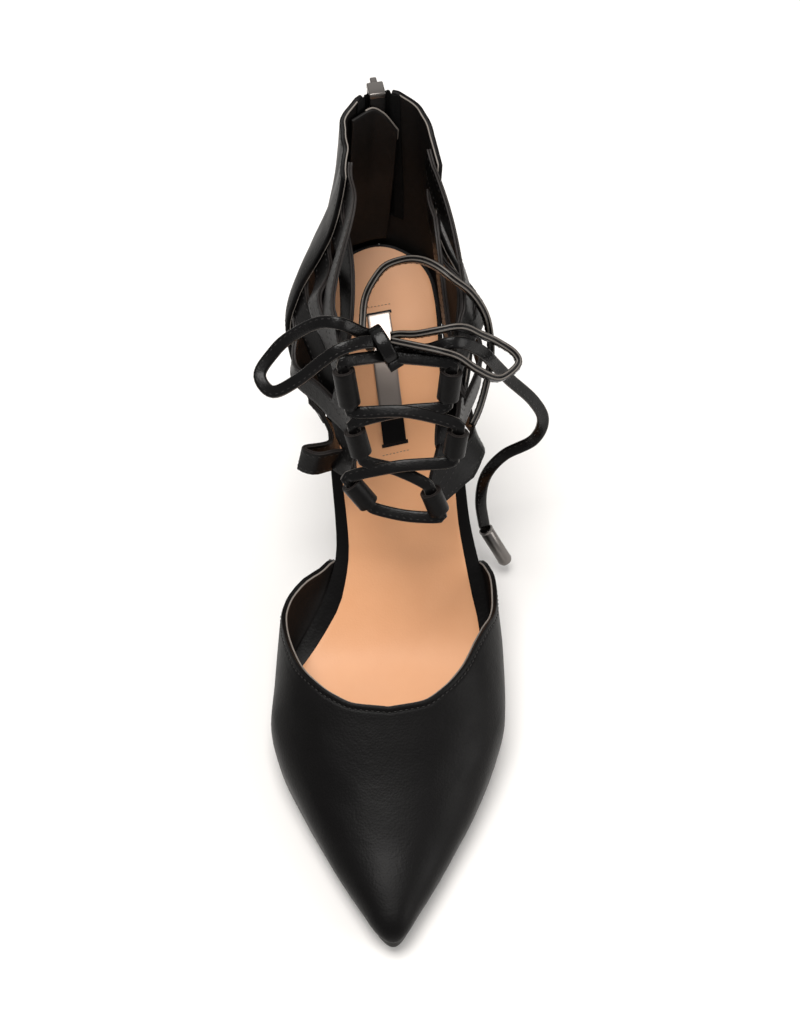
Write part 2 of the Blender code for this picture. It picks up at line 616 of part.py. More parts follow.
class LoopFrame:
    """Place and directions of one rolled lace loop and of the crotch behind it."""

    def __init__(self, tab, side):
        row = rows_of(LOOP_NAMES, LOOPS, tab=tab, side=side)[0]
        self.tab, self.side = tab, side
        self.width, self.half_length = row["width"], row["half_length"]
        self.centre = place(side * row["reach"], row["station"], row["height"])
        self.crotch = place(side * row["crotch_reach"], row["crotch_station"], row["crotch_height"])
        self.axis = leaning(LOOP_RAKE, row["lean"])
        self.upright = leaning(row["crotch_rake"], row["crotch_lean"])
        turn = math.radians(LOOP_TURN)
        ahead = Vector((-side * math.sin(turn), -math.cos(turn), 0.0))
        self.ahead = (ahead - self.axis * ahead.dot(self.axis)).normalized()
        self.outward = (self.axis.cross(self.ahead) * -side).normalized()
        self.entry = self.centre + self.outward * LOOP_RADIUS * MM
        self.leave = (self.entry - self.crotch).normalized()

    def body(self):
        """Middle line from the crotch to the end of the roll, as (point, across, width of each half)."""
        run = (self.entry - self.crotch).length
        path = hermite(self.crotch, self.leave * run, self.entry, self.ahead * run, 6)
        rows = []
        for index, point in enumerate(path):
            share = index / (len(path) - 1)
            along = path[min(index + 1, len(path) - 1)] - path[max(index - 1, 0)]
            lean = self.upright.lerp(self.axis, ease(share))
            across = (lean - along * lean.dot(along) / along.length_squared).normalized()
            across = across.lerp(self.axis, ease((share - 0.6) / 0.4)).normalized()
            rows.append((point, across, self.width + (self.half_length - self.width) * share))
        steps = 7
        for index in range(1, steps + 1):
            angle = math.radians(LOOP_WRAP) * index / steps
            turned = self.outward * math.cos(angle) + self.ahead * math.sin(angle)
            rows.append((self.centre + turned * LOOP_RADIUS * MM, self.axis, self.half_length))
        return rows

    def mouth(self, end, clear):
        """Point on the roll's axis, a distance outside one of its ends."""
        return self.centre + self.axis * end * (self.half_length + clear) * MM


def arm_path(frame, arm, start, ahead, end):
    """Middle line of the free stretch of one strap, by its bends if it is folded."""
    bends = rows_of(FOLD_NAMES, FOLDS, tab=frame.tab, half=arm["half"], side=frame.side)
    if bends:
        spots = [place(bend["across"], bend["station"], bend["height"]) for bend in bends]
        return smooth_path([start, *spots, end], STRAP_SPACING)
    arrive = frame.leave.lerp((end - start).normalized(), arm["direct"]).normalized()
    return hermite(start, ahead * arm["leave"] * MM, end, arrive * arm["arrive"] * MM, 8)


def arm_rows(frame, arm):
    """Rows of three points across one strap, from its sewn end to the crotch."""
    deep = UPPER_WALL + GAP + STRAP_THICK / 2.0 + STRAP_SINK
    side, level = frame.side, arm["level"]
    reach = quarter_reach(level)
    parts = (-0.5, 0.0, 0.5)
    rows = []
    for tuck in (STRAP_TUCK, STRAP_TUCK / 2.0, 0.0, -STRAP_CLEAR):
        spot = side * (reach - tuck)
        climb = (quarter_skin(spot, level + 0.02) - quarter_skin(spot, level - 0.02)).length / 0.04
        rows.append([quarter_point(spot, level + part * frame.width * MM / climb, deep) for part in parts])
    start = rows[-1][1]
    first_across = (rows[-1][2] - rows[-1][0]).normalized()
    ahead = (start - rows[-2][1]).normalized()
    ahead = Matrix.Rotation(math.radians(arm[SIDE_NAMES[side]]) * side, 3, first_across) @ ahead
    last_across = frame.body()[0][1]
    end = frame.crotch + last_across * arm["half"] * frame.width / 2.0 * MM
    path = arm_path(frame, arm, start, ahead, end)
    for index in range(1, len(path) - 1):
        along = path[index + 1] - path[index - 1]
        across = first_across.lerp(last_across, ease(index / (len(path) - 1)))
        across = (across - along * across.dot(along) / along.length_squared).normalized()
        rows.append([path[index] + across * frame.width * MM * part for part in parts])
    return rows


def tab_piece(tab, side, look, group):
    """Folded strap tab: two arms that run together and roll up into one lace loop."""
    frame = LoopFrame(tab, side)
    sheet = bmesh.new()
    for arm in rows_of(ARM_NAMES, ARMS, tab=tab):
        half = arm["half"]
        lines = arm_rows(frame, arm)
        parts = (0.0, 0.5, 1.0) if half > 0 else (-1.0, -0.5, 0.0)
        lines += [[spot + across * width * MM * part for part in parts]
                  for spot, across, width in frame.body()]
        verts = [[sheet.verts.new(point) for point in line] for line in lines]
        for low in range(len(lines) - 1):
            for left in range(2):
                sheet.faces.new((verts[low][left], verts[low][left + 1],
                                 verts[low + 1][left + 1], verts[low + 1][left]))
    bmesh.ops.remove_doubles(sheet, verts=sheet.verts, dist=2e-6)
    bmesh.ops.recalc_face_normals(sheet, faces=sheet.faces)
    return wall(from_bmesh(f"tab_{tab}_{SIDE_NAMES[side]}", sheet, look, group), STRAP_THICK, 0.0)


def smooth_path(points, spacing):
    """Evenly spaced points on a smooth curve through a route's own points."""
    dense = []
    padded = [2 * points[0] - points[1]] + list(points) + [2 * points[-1] - points[-2]]
    for index in range(1, len(padded) - 2):
        before, low, high, after = padded[index - 1:index + 3]
        for step in range(16):
            share = step / 16.0
            dense.append(0.5 * (2 * low + (high - before) * share
                                + (2 * before - 5 * low + 4 * high - after) * share ** 2
                                + (3 * low - before - 3 * high + after) * share ** 3))
    dense.append(padded[-2])
    steps = [(dense[k + 1] - dense[k]).length for k in range(len(dense) - 1)]
    run = np.concatenate(([0.0], np.cumsum(steps)))
    count = max(3, round(run[-1] / (spacing * MM)) + 1)
    at = np.linspace(0.0, run[-1], count)
    axes = [np.interp(at, run, [point[axis] for point in dense]) for axis in range(3)]
    return [Vector(values) for values in zip(*axes)]


def tube(name, points, radius, look, group):
    """Round cord along points, as a bevelled curve with filled caps."""
    curve = bpy.data.curves.new(name, "CURVE")
    curve.dimensions = "3D"
    curve.bevel_depth = radius * MM
    curve.bevel_resolution = 2
    curve.use_fill_caps = True
    spline = curve.splines.new("POLY")
    spline.points.add(len(points) - 1)
    for spot, point in zip(spline.points, points):
        spot.co = (*point, 1.0)
    curve.materials.append(look)
    made = bpy.data.objects.new(name, curve)
    group.objects.link(made)
    return made


def tube_solid(name, points, radius, look, group):
    """Tube made into a closed mesh, so that it can be joined."""
    made = tube(name + "_route", points, radius, look, group)
    bpy.context.view_layer.update()
    mesh = bpy.data.meshes.new_from_object(made.evaluated_get(bpy.context.evaluated_depsgraph_get()))
    bpy.data.objects.remove(made, do_unlink=True)
    shape = bmesh.new()
    shape.from_mesh(mesh)
    bmesh.ops.remove_doubles(shape, verts=shape.verts, dist=1e-6)
    bmesh.ops.recalc_face_normals(shape, faces=shape.faces)
    bpy.data.meshes.remove(mesh)
    return from_bmesh(name, shape, look, group)


def ring_piece(name, centre, look, group):
    """Turn of lace that stands across the shoe."""
    bpy.ops.mesh.primitive_torus_add(location=centre, rotation=(0.0, math.pi / 2.0, 0.0),
                                     major_segments=14, minor_segments=8,
                                     major_radius=KNOT_RADIUS * MM, minor_radius=LACE_RADIUS * MM)
    made = bpy.context.active_object
    made.name = name
    made.data.name = name
    made.data.shade_smooth()
    made.data.materials.append(look)
    for owner in list(made.users_collection):
        owner.objects.unlink(made)
    group.objects.link(made)
    return made


def route(table):
    """Points of a free lace route."""
    return [place(row["side"], row["station"], row["height"]) for row in rows_of(ROUTE_NAMES, table)]


def lace_run(points):
    """Points of a lace run through a route, close together where it turns at both ends."""
    fine = smooth_path(points, LACE_FINE)
    turn = LACE_TURN_POINTS
    return fine[:turn] + fine[turn:-turn:LACE_STRIDE] + fine[-turn:]


def bridge(first, first_end, second, second_end, bow):
    """Lace run between the mouths of two loops, bowed in the middle."""
    start = first.mouth(first_end, LACE_CLEAR)
    end = second.mouth(second_end, LACE_CLEAR)
    start_next = first.mouth(first_end, LACE_CLEAR + LACE_RUN_OUT) + (end - start) * 0.05
    end_before = second.mouth(second_end, LACE_CLEAR + LACE_RUN_OUT) + (start - end) * 0.05
    middle = (start_next + end_before) / 2.0 + Vector(bow) * MM
    return lace_run([start, start_next, middle, end_before, end])


def lace_pieces(look, group, cutters):
    """Crossings between the loops, and the free knot, bow and ends."""
    loops = {(row["tab"], row["side"]): LoopFrame(row["tab"], row["side"])
             for row in rows_of(LOOP_NAMES, LOOPS)}
    bar = bridge(loops["low", MEDIAL], -1, loops["low", LATERAL], -1, (0.0, -0.6, -0.8))
    tube_solid("lace_bar", bar, LACE_RADIUS, look, group)
    under = (0.0, 1.2, 0.0)
    low_over = bridge(loops["low", MEDIAL], 1, loops["middle", LATERAL], -1, (0.0, -0.9, 2.9))
    low_under = bridge(loops["low", LATERAL], 1, loops["middle", MEDIAL], -1, under)
    high_over = bridge(loops["middle", LATERAL], 1, loops["top", MEDIAL], -1, (0.0, -0.1, 3.3))
    high_under = bridge(loops["middle", MEDIAL], 1, loops["top", LATERAL], -1, under)
    for name, front, behind in (("lace_cross_low", low_over, low_under),
                                ("lace_cross_high", high_over, high_under)):
        first = tube_solid(name, front, LACE_RADIUS, look, group)
        second = tube_solid(name + "_behind", behind, LACE_RADIUS, look, group)
        join(first, [second], cutters)
    foot = place(*KNOT_FOOT)
    knot = ring_piece("lace_knot", place(*KNOT_CENTRE), look, group)
    necks = []
    for side in (MEDIAL, LATERAL):
        frame = loops["top", side]
        start = frame.mouth(1, LACE_CLEAR)
        near = frame.mouth(1, LACE_CLEAR + LACE_RUN_OUT) + (foot - start) * 0.08
        path = lace_run([start, near, foot])
        necks.append(tube_solid(f"lace_neck_{SIDE_NAMES[side]}", path, LACE_RADIUS, look, group))
    join(knot, necks, cutters)
    for name, table in (("lace_bow_medial", BOW_MEDIAL), ("lace_bow_lateral", BOW_LATERAL),
                        ("lace_end_medial", END_MEDIAL), ("lace_end_lateral", END_LATERAL)):
        tube(name, smooth_path(route(table), CORD_SPACING), LACE_RADIUS, look, group)


def aglet_piece(look, group):
    """Metal tube on the lateral lace end."""
    start, tip = (place(row["side"], row["station"], row["height"]) for row in rows_of(AGLET_NAMES, AGLET))
    ahead = (tip - start).normalized()
    shape = bmesh.new()
    bmesh.ops.create_cone(shape, cap_ends=True, segments=14, radius1=AGLET_RADIUS * MM,
                          radius2=AGLET_RADIUS * MM, depth=(tip - start).length)
    turn = Vector((0.0, 0.0, 1.0)).rotation_difference(ahead).to_matrix().to_4x4()
    turn.translation = (start + tip) / 2.0
    bmesh.ops.transform(shape, matrix=turn, verts=shape.verts)
    return from_bmesh("lace_aglet", shape, look, group)


def plate_piece(look, group):
    """Plain metal strip that lies on the heel of the sock."""
    rows = []
    count = 9
    base = BOARD_THICK + LAYER_GAP + SOCK_THICK + LAYER_GAP
    for index in range(count):
        share = index / (count - 1)
        station = PLATE_START + PLATE_LENGTH * share
        middle = PLATE_SIDE + PLATE_DRIFT * share
        lift = base + PLATE_BOW * math.sin(math.pi * share)
        rows.append([bottom_point(middle + side, station + side * PLATE_SKEW, lift)
                     for side in (-PLATE_HALF, 0.0, PLATE_HALF)])
    sheet = grid_sheet(rows, place(0.0, 180.0, -500.0))
    return wall(from_bmesh("insole_plate", sheet, look, group), PLATE_THICK, 1.0)


def heel_ring(down, offset, segments=24):
    """Ring of the heel a share of the way down, square in front at the seat and round at the tip."""
    front, back, half = (HEEL.read(name, down) for name in ("front", "back", "half"))
    centre, length = (front + back) / 2.0, (back - front) / 2.0
    ring = []
    for index in range(segments):
        angle = 2.0 * math.pi * index / segments
        along, aside = math.cos(angle), math.sin(angle)
        square = 2.0 / (2.0 + (1.4 * (1.0 - down) ** 2 if along < 0.0 else 0.0))
        station = centre + length * math.copysign(abs(along) ** square, along)
        side = half * math.copysign(abs(aside) ** square, aside) + HEEL_SIDE
        seat = bottom_point(side, station, -offset)
        flat = place(side, station, HEEL_LIFT + GAP)
        ring.append(seat.lerp(flat, down))
    return ring


def heel_piece(look, group):
    """Covered stiletto heel, from the sloped seat to the top piece."""
    downs = (0.0, 0.04, 0.08, 0.14, 0.2, 0.28, 0.36, 0.46, 0.6, 0.75, 0.88, 1.0)
    return loft("heel", [heel_ring(down, HEEL_SEAT_GAP) for down in downs], look, group)


def heel_tip_piece(look, group):
    """Hard top piece under the heel."""
    front, back, half = (HEEL.read(name, 1.0) for name in ("front", "back", "half"))
    shape = bmesh.new()
    bmesh.ops.create_cone(shape, cap_ends=True, segments=24, radius1=1.0, radius2=1.0, depth=1.0)
    bmesh.ops.scale(shape, vec=(half * MM, (back - front) / 2.0 * MM, HEEL_LIFT * MM), verts=shape.verts)
    middle = place(HEEL_SIDE, (front + back) / 2.0, HEEL_LIFT / 2.0)
    bmesh.ops.translate(shape, vec=middle, verts=shape.verts)
    return from_bmesh("heel_tip", shape, look, group)


def collection(name):
    """New collection in the scene."""
    made = bpy.data.collections.new(name)
    bpy.context.scene.collection.children.link(made)
    return made


def main():
    """Build every piece of the shoe."""
    for item in list(bpy.data.objects):
        bpy.data.objects.remove(item, do_unlink=True)
    group = collection(OBJECT_NAME)
    cutters = collection(OBJECT_NAME + "_helpers")
    black = material("black_calf", (0.012, 0.012, 0.013), 0.42)
    strap = material("black_strap_calf", (0.014, 0.014, 0.015), 0.4)
    cord = material("black_cord_leather", (0.014, 0.014, 0.015), 0.45)
    nude = material("nude_sock_kid", (0.75, 0.53, 0.38), 0.6)
    wrap = material("black_board_wrap", (0.012, 0.012, 0.013), 0.5)
    sole = material("black_sole_leather", (0.02, 0.02, 0.02), 0.55)
    cover = material("black_heel_cover", (0.012, 0.012, 0.013), 0.4)
    lift = material("black_top_piece", (0.02, 0.02, 0.02), 0.6)
    tape = material("black_zip_tape", (0.015, 0.015, 0.016), 0.8)
    metal = material("gunmetal", (0.32, 0.31, 0.3), 0.3, 1.0)

    inner = UPPER_WALL + GAP + 0.3
    stations = stations_between(0.0, LENGTH, 36)
    sole_stations = [station for station in stations if station < SOLE_END - 2.0] + [SOLE_END]
    sole_layer("outsole", sole_stations,
               lambda station: 0.6 if station < 125.0 else 0.6 + min(2.4, (station - 125.0) * 0.15),
               -LAYER_GAP - SOLE_THICK, SOLE_THICK, 3, sole, group)
    sole_layer("insole_board", stations, lambda station: inner, 0.0, BOARD_THICK, 3, wrap, group)
    sole_layer("insole_sock", stations, lambda station: inner + RIM.read("inset", station),
               BOARD_THICK + LAYER_GAP, SOCK_THICK, 3, nude, group)
    plate_piece(metal, group)
    vamp_piece(black, group)
    quarter_piece(black, group)
    guard_piece(black, group)
    for row in rows_of(LOOP_NAMES, LOOPS):
        tab_piece(row["tab"], row["side"], strap, group)
    zip_chain_piece(tape, group)
    slider_piece(metal, group, cutters)
    pull_piece(metal, group)
    lace_pieces(cord, group, cutters)
    aglet_piece(metal, group)
    heel_piece(cover, group)
    heel_tip_piece(lift, group)


main()
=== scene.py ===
"""Dressed model of a laced two-piece pump for the left foot.

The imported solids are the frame. Each piece here sits where its solid is, and adds the finish,
folds, seams, stitches and flat leather lace that the solids leave out. Sizes are millimetres,
which MM turns to metres. A station is a distance behind the toe tip, side is positive laterally.
"""
from __future__ import annotations

import logging
import math
from dataclasses import dataclass
from enum import Enum
from typing import Callable, Optional, Sequence

import bmesh
import bpy
import numpy as np
from mathutils import Matrix, Vector

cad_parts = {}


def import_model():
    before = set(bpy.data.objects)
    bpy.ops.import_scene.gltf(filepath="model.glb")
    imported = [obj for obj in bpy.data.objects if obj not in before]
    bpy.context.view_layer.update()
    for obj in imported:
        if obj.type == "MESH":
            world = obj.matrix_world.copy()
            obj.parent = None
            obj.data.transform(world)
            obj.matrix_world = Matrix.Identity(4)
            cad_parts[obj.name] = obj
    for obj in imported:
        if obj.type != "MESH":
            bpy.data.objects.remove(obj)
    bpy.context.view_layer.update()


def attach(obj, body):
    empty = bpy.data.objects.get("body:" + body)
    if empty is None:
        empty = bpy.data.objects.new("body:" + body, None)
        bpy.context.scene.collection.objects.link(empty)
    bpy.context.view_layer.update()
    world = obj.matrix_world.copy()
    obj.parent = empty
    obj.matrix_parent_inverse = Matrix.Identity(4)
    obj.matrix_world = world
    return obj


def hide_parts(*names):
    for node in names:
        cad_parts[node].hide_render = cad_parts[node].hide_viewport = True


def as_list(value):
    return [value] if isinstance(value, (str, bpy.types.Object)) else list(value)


LOG = logging.getLogger("laced_pump")
MM = 0.001

# Frame of the shoe and its driving sizes
ORIGIN_SIDE = 0.18
ORIGIN_STATION = 117.11
LENGTH = 229.2
UPPER_WALL = 1.7
LINING_DEEP = UPPER_WALL - 0.1
GAP = 0.3
LAYER_GAP = 0.4

# How every piece is finished: the angle of a sharp edge, the weld distance in metres, and a
# direction that no cut edge of the leather runs along, which sets the frames of a bead
SHARP_ANGLE = 50.0
WELD = 1e-6
OFF_AXIS = Vector((0.31, -0.23, 0.92))


class Side(Enum):
    """Side of the shoe, with the sign of its side coordinate."""

    MEDIAL = -1.0
    LATERAL = 1.0

    @property
    def label(self) -> str:
        """Name of the side in the tables and nodes."""
        return self.name.lower()


class Body(Enum):
    """Moving bodies of the frame."""

    SHOE = "shoe"
    PULL = "pull_tab"


class Lay(Enum):
    """How a flat lace meets the front: with its face or with its edge."""

    FACE = "face"
    EDGE = "edge"


# General tools


def cubic(share: float) -> tuple[float, float, float, float]:
    """Weights of a cubic's first point, first slope, last point and last slope."""
    square, cube = share * share, share ** 3
    return 2 * cube - 3 * square + 1, cube - 2 * square + share, 3 * square - 2 * cube, cube - square


class Table:
    """A short table of named columns, read smoothly against its first column."""

    def __init__(self, names: Sequence[str], rows: Sequence[Sequence[float]],
                 key: Optional[Callable[[float], float]] = None) -> None:
        """Keep the columns and work out a monotone slope for each row.

        Args:
            names: column names, the key first.
            rows: one row of numbers for each place.
            key: change of scale of the key column.
        """
        self.key = key or (lambda value: value)
        data = np.array(rows, dtype=float)
        self.at = np.array([self.key(value) for value in data[:, 0]])
        self.columns = {name: data[:, index] for index, name in enumerate(names)}
        self.slopes = {name: self._slopes(column) for name, column in self.columns.items()}

    def _slopes(self, column: np.ndarray) -> np.ndarray:
        """Slopes that never overshoot the rows.

        Args:
            column: values of one column.

        Returns:
            One slope for each row.
        """
        step = np.diff(self.at)
        rise = np.diff(column) / step
        slope = np.zeros(len(column))
        slope[0], slope[-1] = rise[0], rise[-1]
        for index in range(1, len(column) - 1):
            before, after = rise[index - 1], rise[index]
            if before * after > 0.0:
                first = 2.0 * step[index] + step[index - 1]
                second = step[index] + 2.0 * step[index - 1]
                slope[index] = (first + second) / (first / before + second / after)
        return slope

    def read(self, name: str, value: float) -> float:
        """Read one column by cubic pieces.

        Args:
            name: column to read.
            value: key value.

        Returns:
            The column's value there.
        """
        spot = min(max(self.key(value), self.at[0]), self.at[-1])
        index = int(min(np.searchsorted(self.at, spot, side="right") - 1, len(self.at) - 2))
        span = self.at[index + 1] - self.at[index]
        low, leave, high, arrive = cubic((spot - self.at[index]) / span)
        values, slopes = self.columns[name], self.slopes[name]
        return (low * values[index] + leave * slopes[index] * span
                + high * values[index + 1] + arrive * slopes[index + 1] * span)


def place(side: float, station: float, height: float) -> Vector:
    """Point of the frame, in metres, from shoe coordinates in millimetres."""
    return Vector(((side - ORIGIN_SIDE) * MM, (station - ORIGIN_STATION) * MM, height * MM))


# Points that open sheets face away from
INSIDE_VAMP = place(0.0, 60.0, 5.0)
INSIDE_QUARTER = place(0.0, 200.0, 110.0)
UNDER_SOLE = place(0.0, 120.0, -500.0)


def rounded(station: float) -> float:
    """Key that packs both ends of the shoe, so that widths close there in a round."""
    return math.acos(1.0 - 2.0 * min(max(station, 0.0), LENGTH) / LENGTH)


def station_at(key: float) -> float:
    """Station that has such a key."""
    return LENGTH * (1.0 - math.cos(key)) / 2.0


def spread(first: float, last: float, count: int) -> list[float]:
    """Evenly spaced values from first to last."""
    return [first + (last - first) * index / (count - 1) for index in range(count)]


def ease(value: float) -> float:
    """Smooth step from 0 to 1."""
    value = min(max(value, 0.0), 1.0)
    return value * value * (3.0 - 2.0 * value)


def hump(value: float, middle: float, half: float) -> float:
    """Soft bump of height 1 round a middle value."""
    return math.exp(-((value - middle) / half) ** 2)


def run_along(points: Sequence[Vector]) -> np.ndarray:
    """Distance of each point along a chain of points, in metres."""
    steps = [(after - before).length for before, after in zip(points, points[1:])]
    return np.concatenate(([0.0], np.cumsum(steps)))


def tangents(path: Sequence[Vector]) -> list[Vector]:
    """Direction of a path at each of its points."""
    final = len(path) - 1
    return [path[min(index + 1, final)] - path[max(index - 1, 0)] for index in range(final + 1)]


def smooth_path(points: Sequence[Vector], spacing: float) -> list[Vector]:
    """Evenly spaced points on a smooth curve through a route's own points.

    Args:
        points: route in metres.
        spacing: distance between the new points, in millimetres.

    Returns:
        The new points, with both ends kept.
    """
    dense: list[Vector] = []
    padded = [2 * points[0] - points[1], *points, 2 * points[-1] - points[-2]]
    for index in range(1, len(padded) - 2):
        before, low, high, after = padded[index - 1:index + 3]
        for share in spread(0.0, 1.0, 17)[:-1]:
            dense.append(0.5 * (2 * low + (high - before) * share
                                + (2 * before - 5 * low + 4 * high - after) * share ** 2
                                + (3 * low - before - 3 * high + after) * share ** 3))
    dense.append(points[-1])
    run = run_along(dense)
    count = max(3, round(run[-1] / (spacing * MM)) + 1)
    at = np.linspace(0.0, run[-1], count)
    axes = [np.interp(at, run, [point[axis] for point in dense]) for axis in range(3)]
    return [Vector(values) for values in zip(*axes)]


def hermite(start: Vector, leave: Vector, end: Vector, arrive: Vector, count: int) -> list[Vector]:
    """Points of a cubic.

    Args:
        start: first point.
        leave: direction and speed at the first point.
        end: last point.
        arrive: direction and speed at the last point.
        count: how many points.

    Returns:
        The points from start to end.
    """
    weights = [cubic(share) for share in spread(0.0, 1.0, count)]
    return [low * start + first * leave + high * end + final * arrive for low, first, high, final in weights]


# Form of the last and of the quarter, as the solids have them

PROFILE = Table(("station", "height"), (
    (0.0, 9.1), (12.0, 6.6), (30.0, 4.1), (55.0, 3.1), (85.0, 3.1), (105.0, 5.6),
    (138.3, 26.4), (166.7, 54.2), (193.8, 76.8), (LENGTH, 92.9)))
OUTLINE = Table(("station", "medial", "lateral"), (
    (0.0, 0.0, 0.0), (5.0, 5.6, 5.0), (9.0, 7.8, 7.1), (17.0, 12.4, 11.4), (30.0, 19.2, 18.1),
    (46.0, 27.6, 26.9), (64.0, 35.2, 34.5), (77.0, 38.3, 38.0), (90.0, 37.6, 38.9),
    (104.0, 35.6, 38.8), (112.0, 31.2, 38.6), (120.0, 26.0, 38.0), (130.0, 20.2, 35.7),
    (142.0, 18.0, 33.1), (150.0, 18.7, 31.5), (158.0, 19.8, 30.6), (175.0, 21.2, 26.8),
    (190.0, 22.4, 23.8), (206.0, 22.8, 22.4), (215.0, 21.2, 20.6), (222.0, 17.0, 16.4),
    (226.5, 10.2, 9.8), (LENGTH, 0.0, 0.0)), rounded)
LAST = Table(("station", "medial", "lateral", "wide_rise", "crown_rise"), (
    (0.0, 0.0, 0.0, 0.0, 0.0), (2.0, 4.4, 3.8, 1.8, 5.0), (5.0, 7.0, 6.0, 2.8, 8.0),
    (9.0, 9.3, 8.3, 3.6, 10.5), (17.0, 14.2, 13.3, 5.0, 14.0), (30.0, 21.5, 20.7, 7.0, 18.8),
    (46.0, 29.7, 29.2, 9.5, 25.5), (64.0, 37.7, 36.7, 12.0, 34.5), (77.0, 40.4, 40.2, 13.0, 41.5),
    (90.0, 39.3, 40.8, 14.0, 46.5), (104.0, 38.1, 40.6, 15.0, 49.0), (112.0, 37.2, 39.9, 15.5, 48.5),
    (118.0, 35.2, 39.3, 15.5, 46.0), (126.0, 29.8, 38.6, 13.0, 40.0), (133.0, 22.6, 36.8, 8.5, 32.0),
    (140.0, 18.2, 33.6, 4.0, 26.0)), rounded)
TOPLINE = Table(("sweep", "medial", "lateral"), (
    (0.0, 138.5, 137.5), (0.12, 137.6, 136.6), (0.2, 135.6, 134.0), (0.25, 130.0, 129.0),
    (0.31, 118.5, 120.5), (0.38, 109.5, 113.0), (0.45, 102.0, 107.5), (0.52, 95.0, 102.5),
    (0.6, 87.5, 95.0), (0.69, 81.0, 84.5), (0.78, 75.5, 77.0), (0.87, 71.8, 72.2), (1.0, 70.2, 70.2)))
RIM = Table(("station", "inset"), (
    (0.0, 2.4), (30.0, 1.0), (90.0, 1.2), (112.0, 2.6), (165.0, 3.2), (200.0, 1.0), (LENGTH, 0.8)))
QUARTER = Table(("level", "back", "medial", "lateral", "medial_front", "lateral_front"), (
    (0.0, 0.0, 0.0, 0.0, 0.0, 0.0), (0.1, 1.1, 0.3, 0.7, 5.5, 2.5), (0.2, 1.7, 0.0, 1.2, 10.0, 4.0),
    (0.38, 2.0, -1.5, 0.9, 13.0, 5.0), (0.5, 1.8, -3.0, 0.2, 10.0, 2.0), (0.67, 1.1, -5.5, -1.6, 1.8, -5.0),
    (0.75, 0.8, -6.5, -2.4, -1.6, -7.0), (0.9, 0.3, -8.2, -4.0, -5.2, -6.6),
    (1.0, 0.0, -9.0, -5.0, -6.8, -5.7)))
HEEL = Table(("down", "front", "back", "half"), (
    (0.0, 189.5, 228.4, 22.0), (0.08, 192.0, 227.6, 19.2), (0.2, 197.0, 225.6, 13.2),
    (0.36, 202.6, 223.4, 8.6), (0.6, 206.4, 221.0, 6.2), (0.85, 208.4, 219.2, 5.1),
    (1.0, 208.8, 218.8, 4.9)))
GUARD_SHAPE = ("reach_low", "reach_high", "top", "inward")
GUARD = Table(("share", *GUARD_SHAPE), (
    (0.0, -12.0, -12.5, 160.0, 2.45), (0.4, -6.0, -4.5, 161.0, 4.0), (0.7, -1.5, 2.5, 158.0, 4.1),
    (1.0, 3.0, 8.5, 150.5, 3.4)))

# The board's edge meets the foot of the vamp in front and lies inside the quarter's wall behind
BOARD = Table(("station", "inset"), (
    (0.0, 0.1), (90.0, 0.1), (104.0, -0.5), (128.0, -0.5), (136.0, 0.4), (145.0, 1.1), (160.0, 1.7),
    (LENGTH, 1.7)))

# Slider blocks (half, inner, outer, low, high, whether black) and the pull's outline (down, width factor)
SLIDER = (
    (2.7, -2.9, 2.9, 4.2, 6.4, False), (2.6, 1.8, 2.8, -3.5, 5.2, True), (2.6, -2.8, -1.8, -2.0, 5.2, True),
    (1.1, 2.3, 5.8, -2.6, -1.4, False), (1.1, 2.3, 5.8, 4.6, 5.8, False), (1.05, 4.7, 5.7, -2.0, 5.1, False))
PULL = ((0.65, 1.0), (-0.65, 1.0), (-7.4, 1.0), (-11.5, 0.9), (-21.0, 1.12), (-24.0, 0.8))

# Soft troughs of the vamp: column and row where each starts and ends, half width in rows, depth
CREASES = (
    (-0.62, 0.66, -0.3, 0.74, 0.05, 0.5), (-0.5, 0.56, -0.16, 0.62, 0.045, 0.35),
    (0.22, 0.66, 0.6, 0.62, 0.05, 0.45), (0.34, 0.55, 0.66, 0.5, 0.045, 0.3))


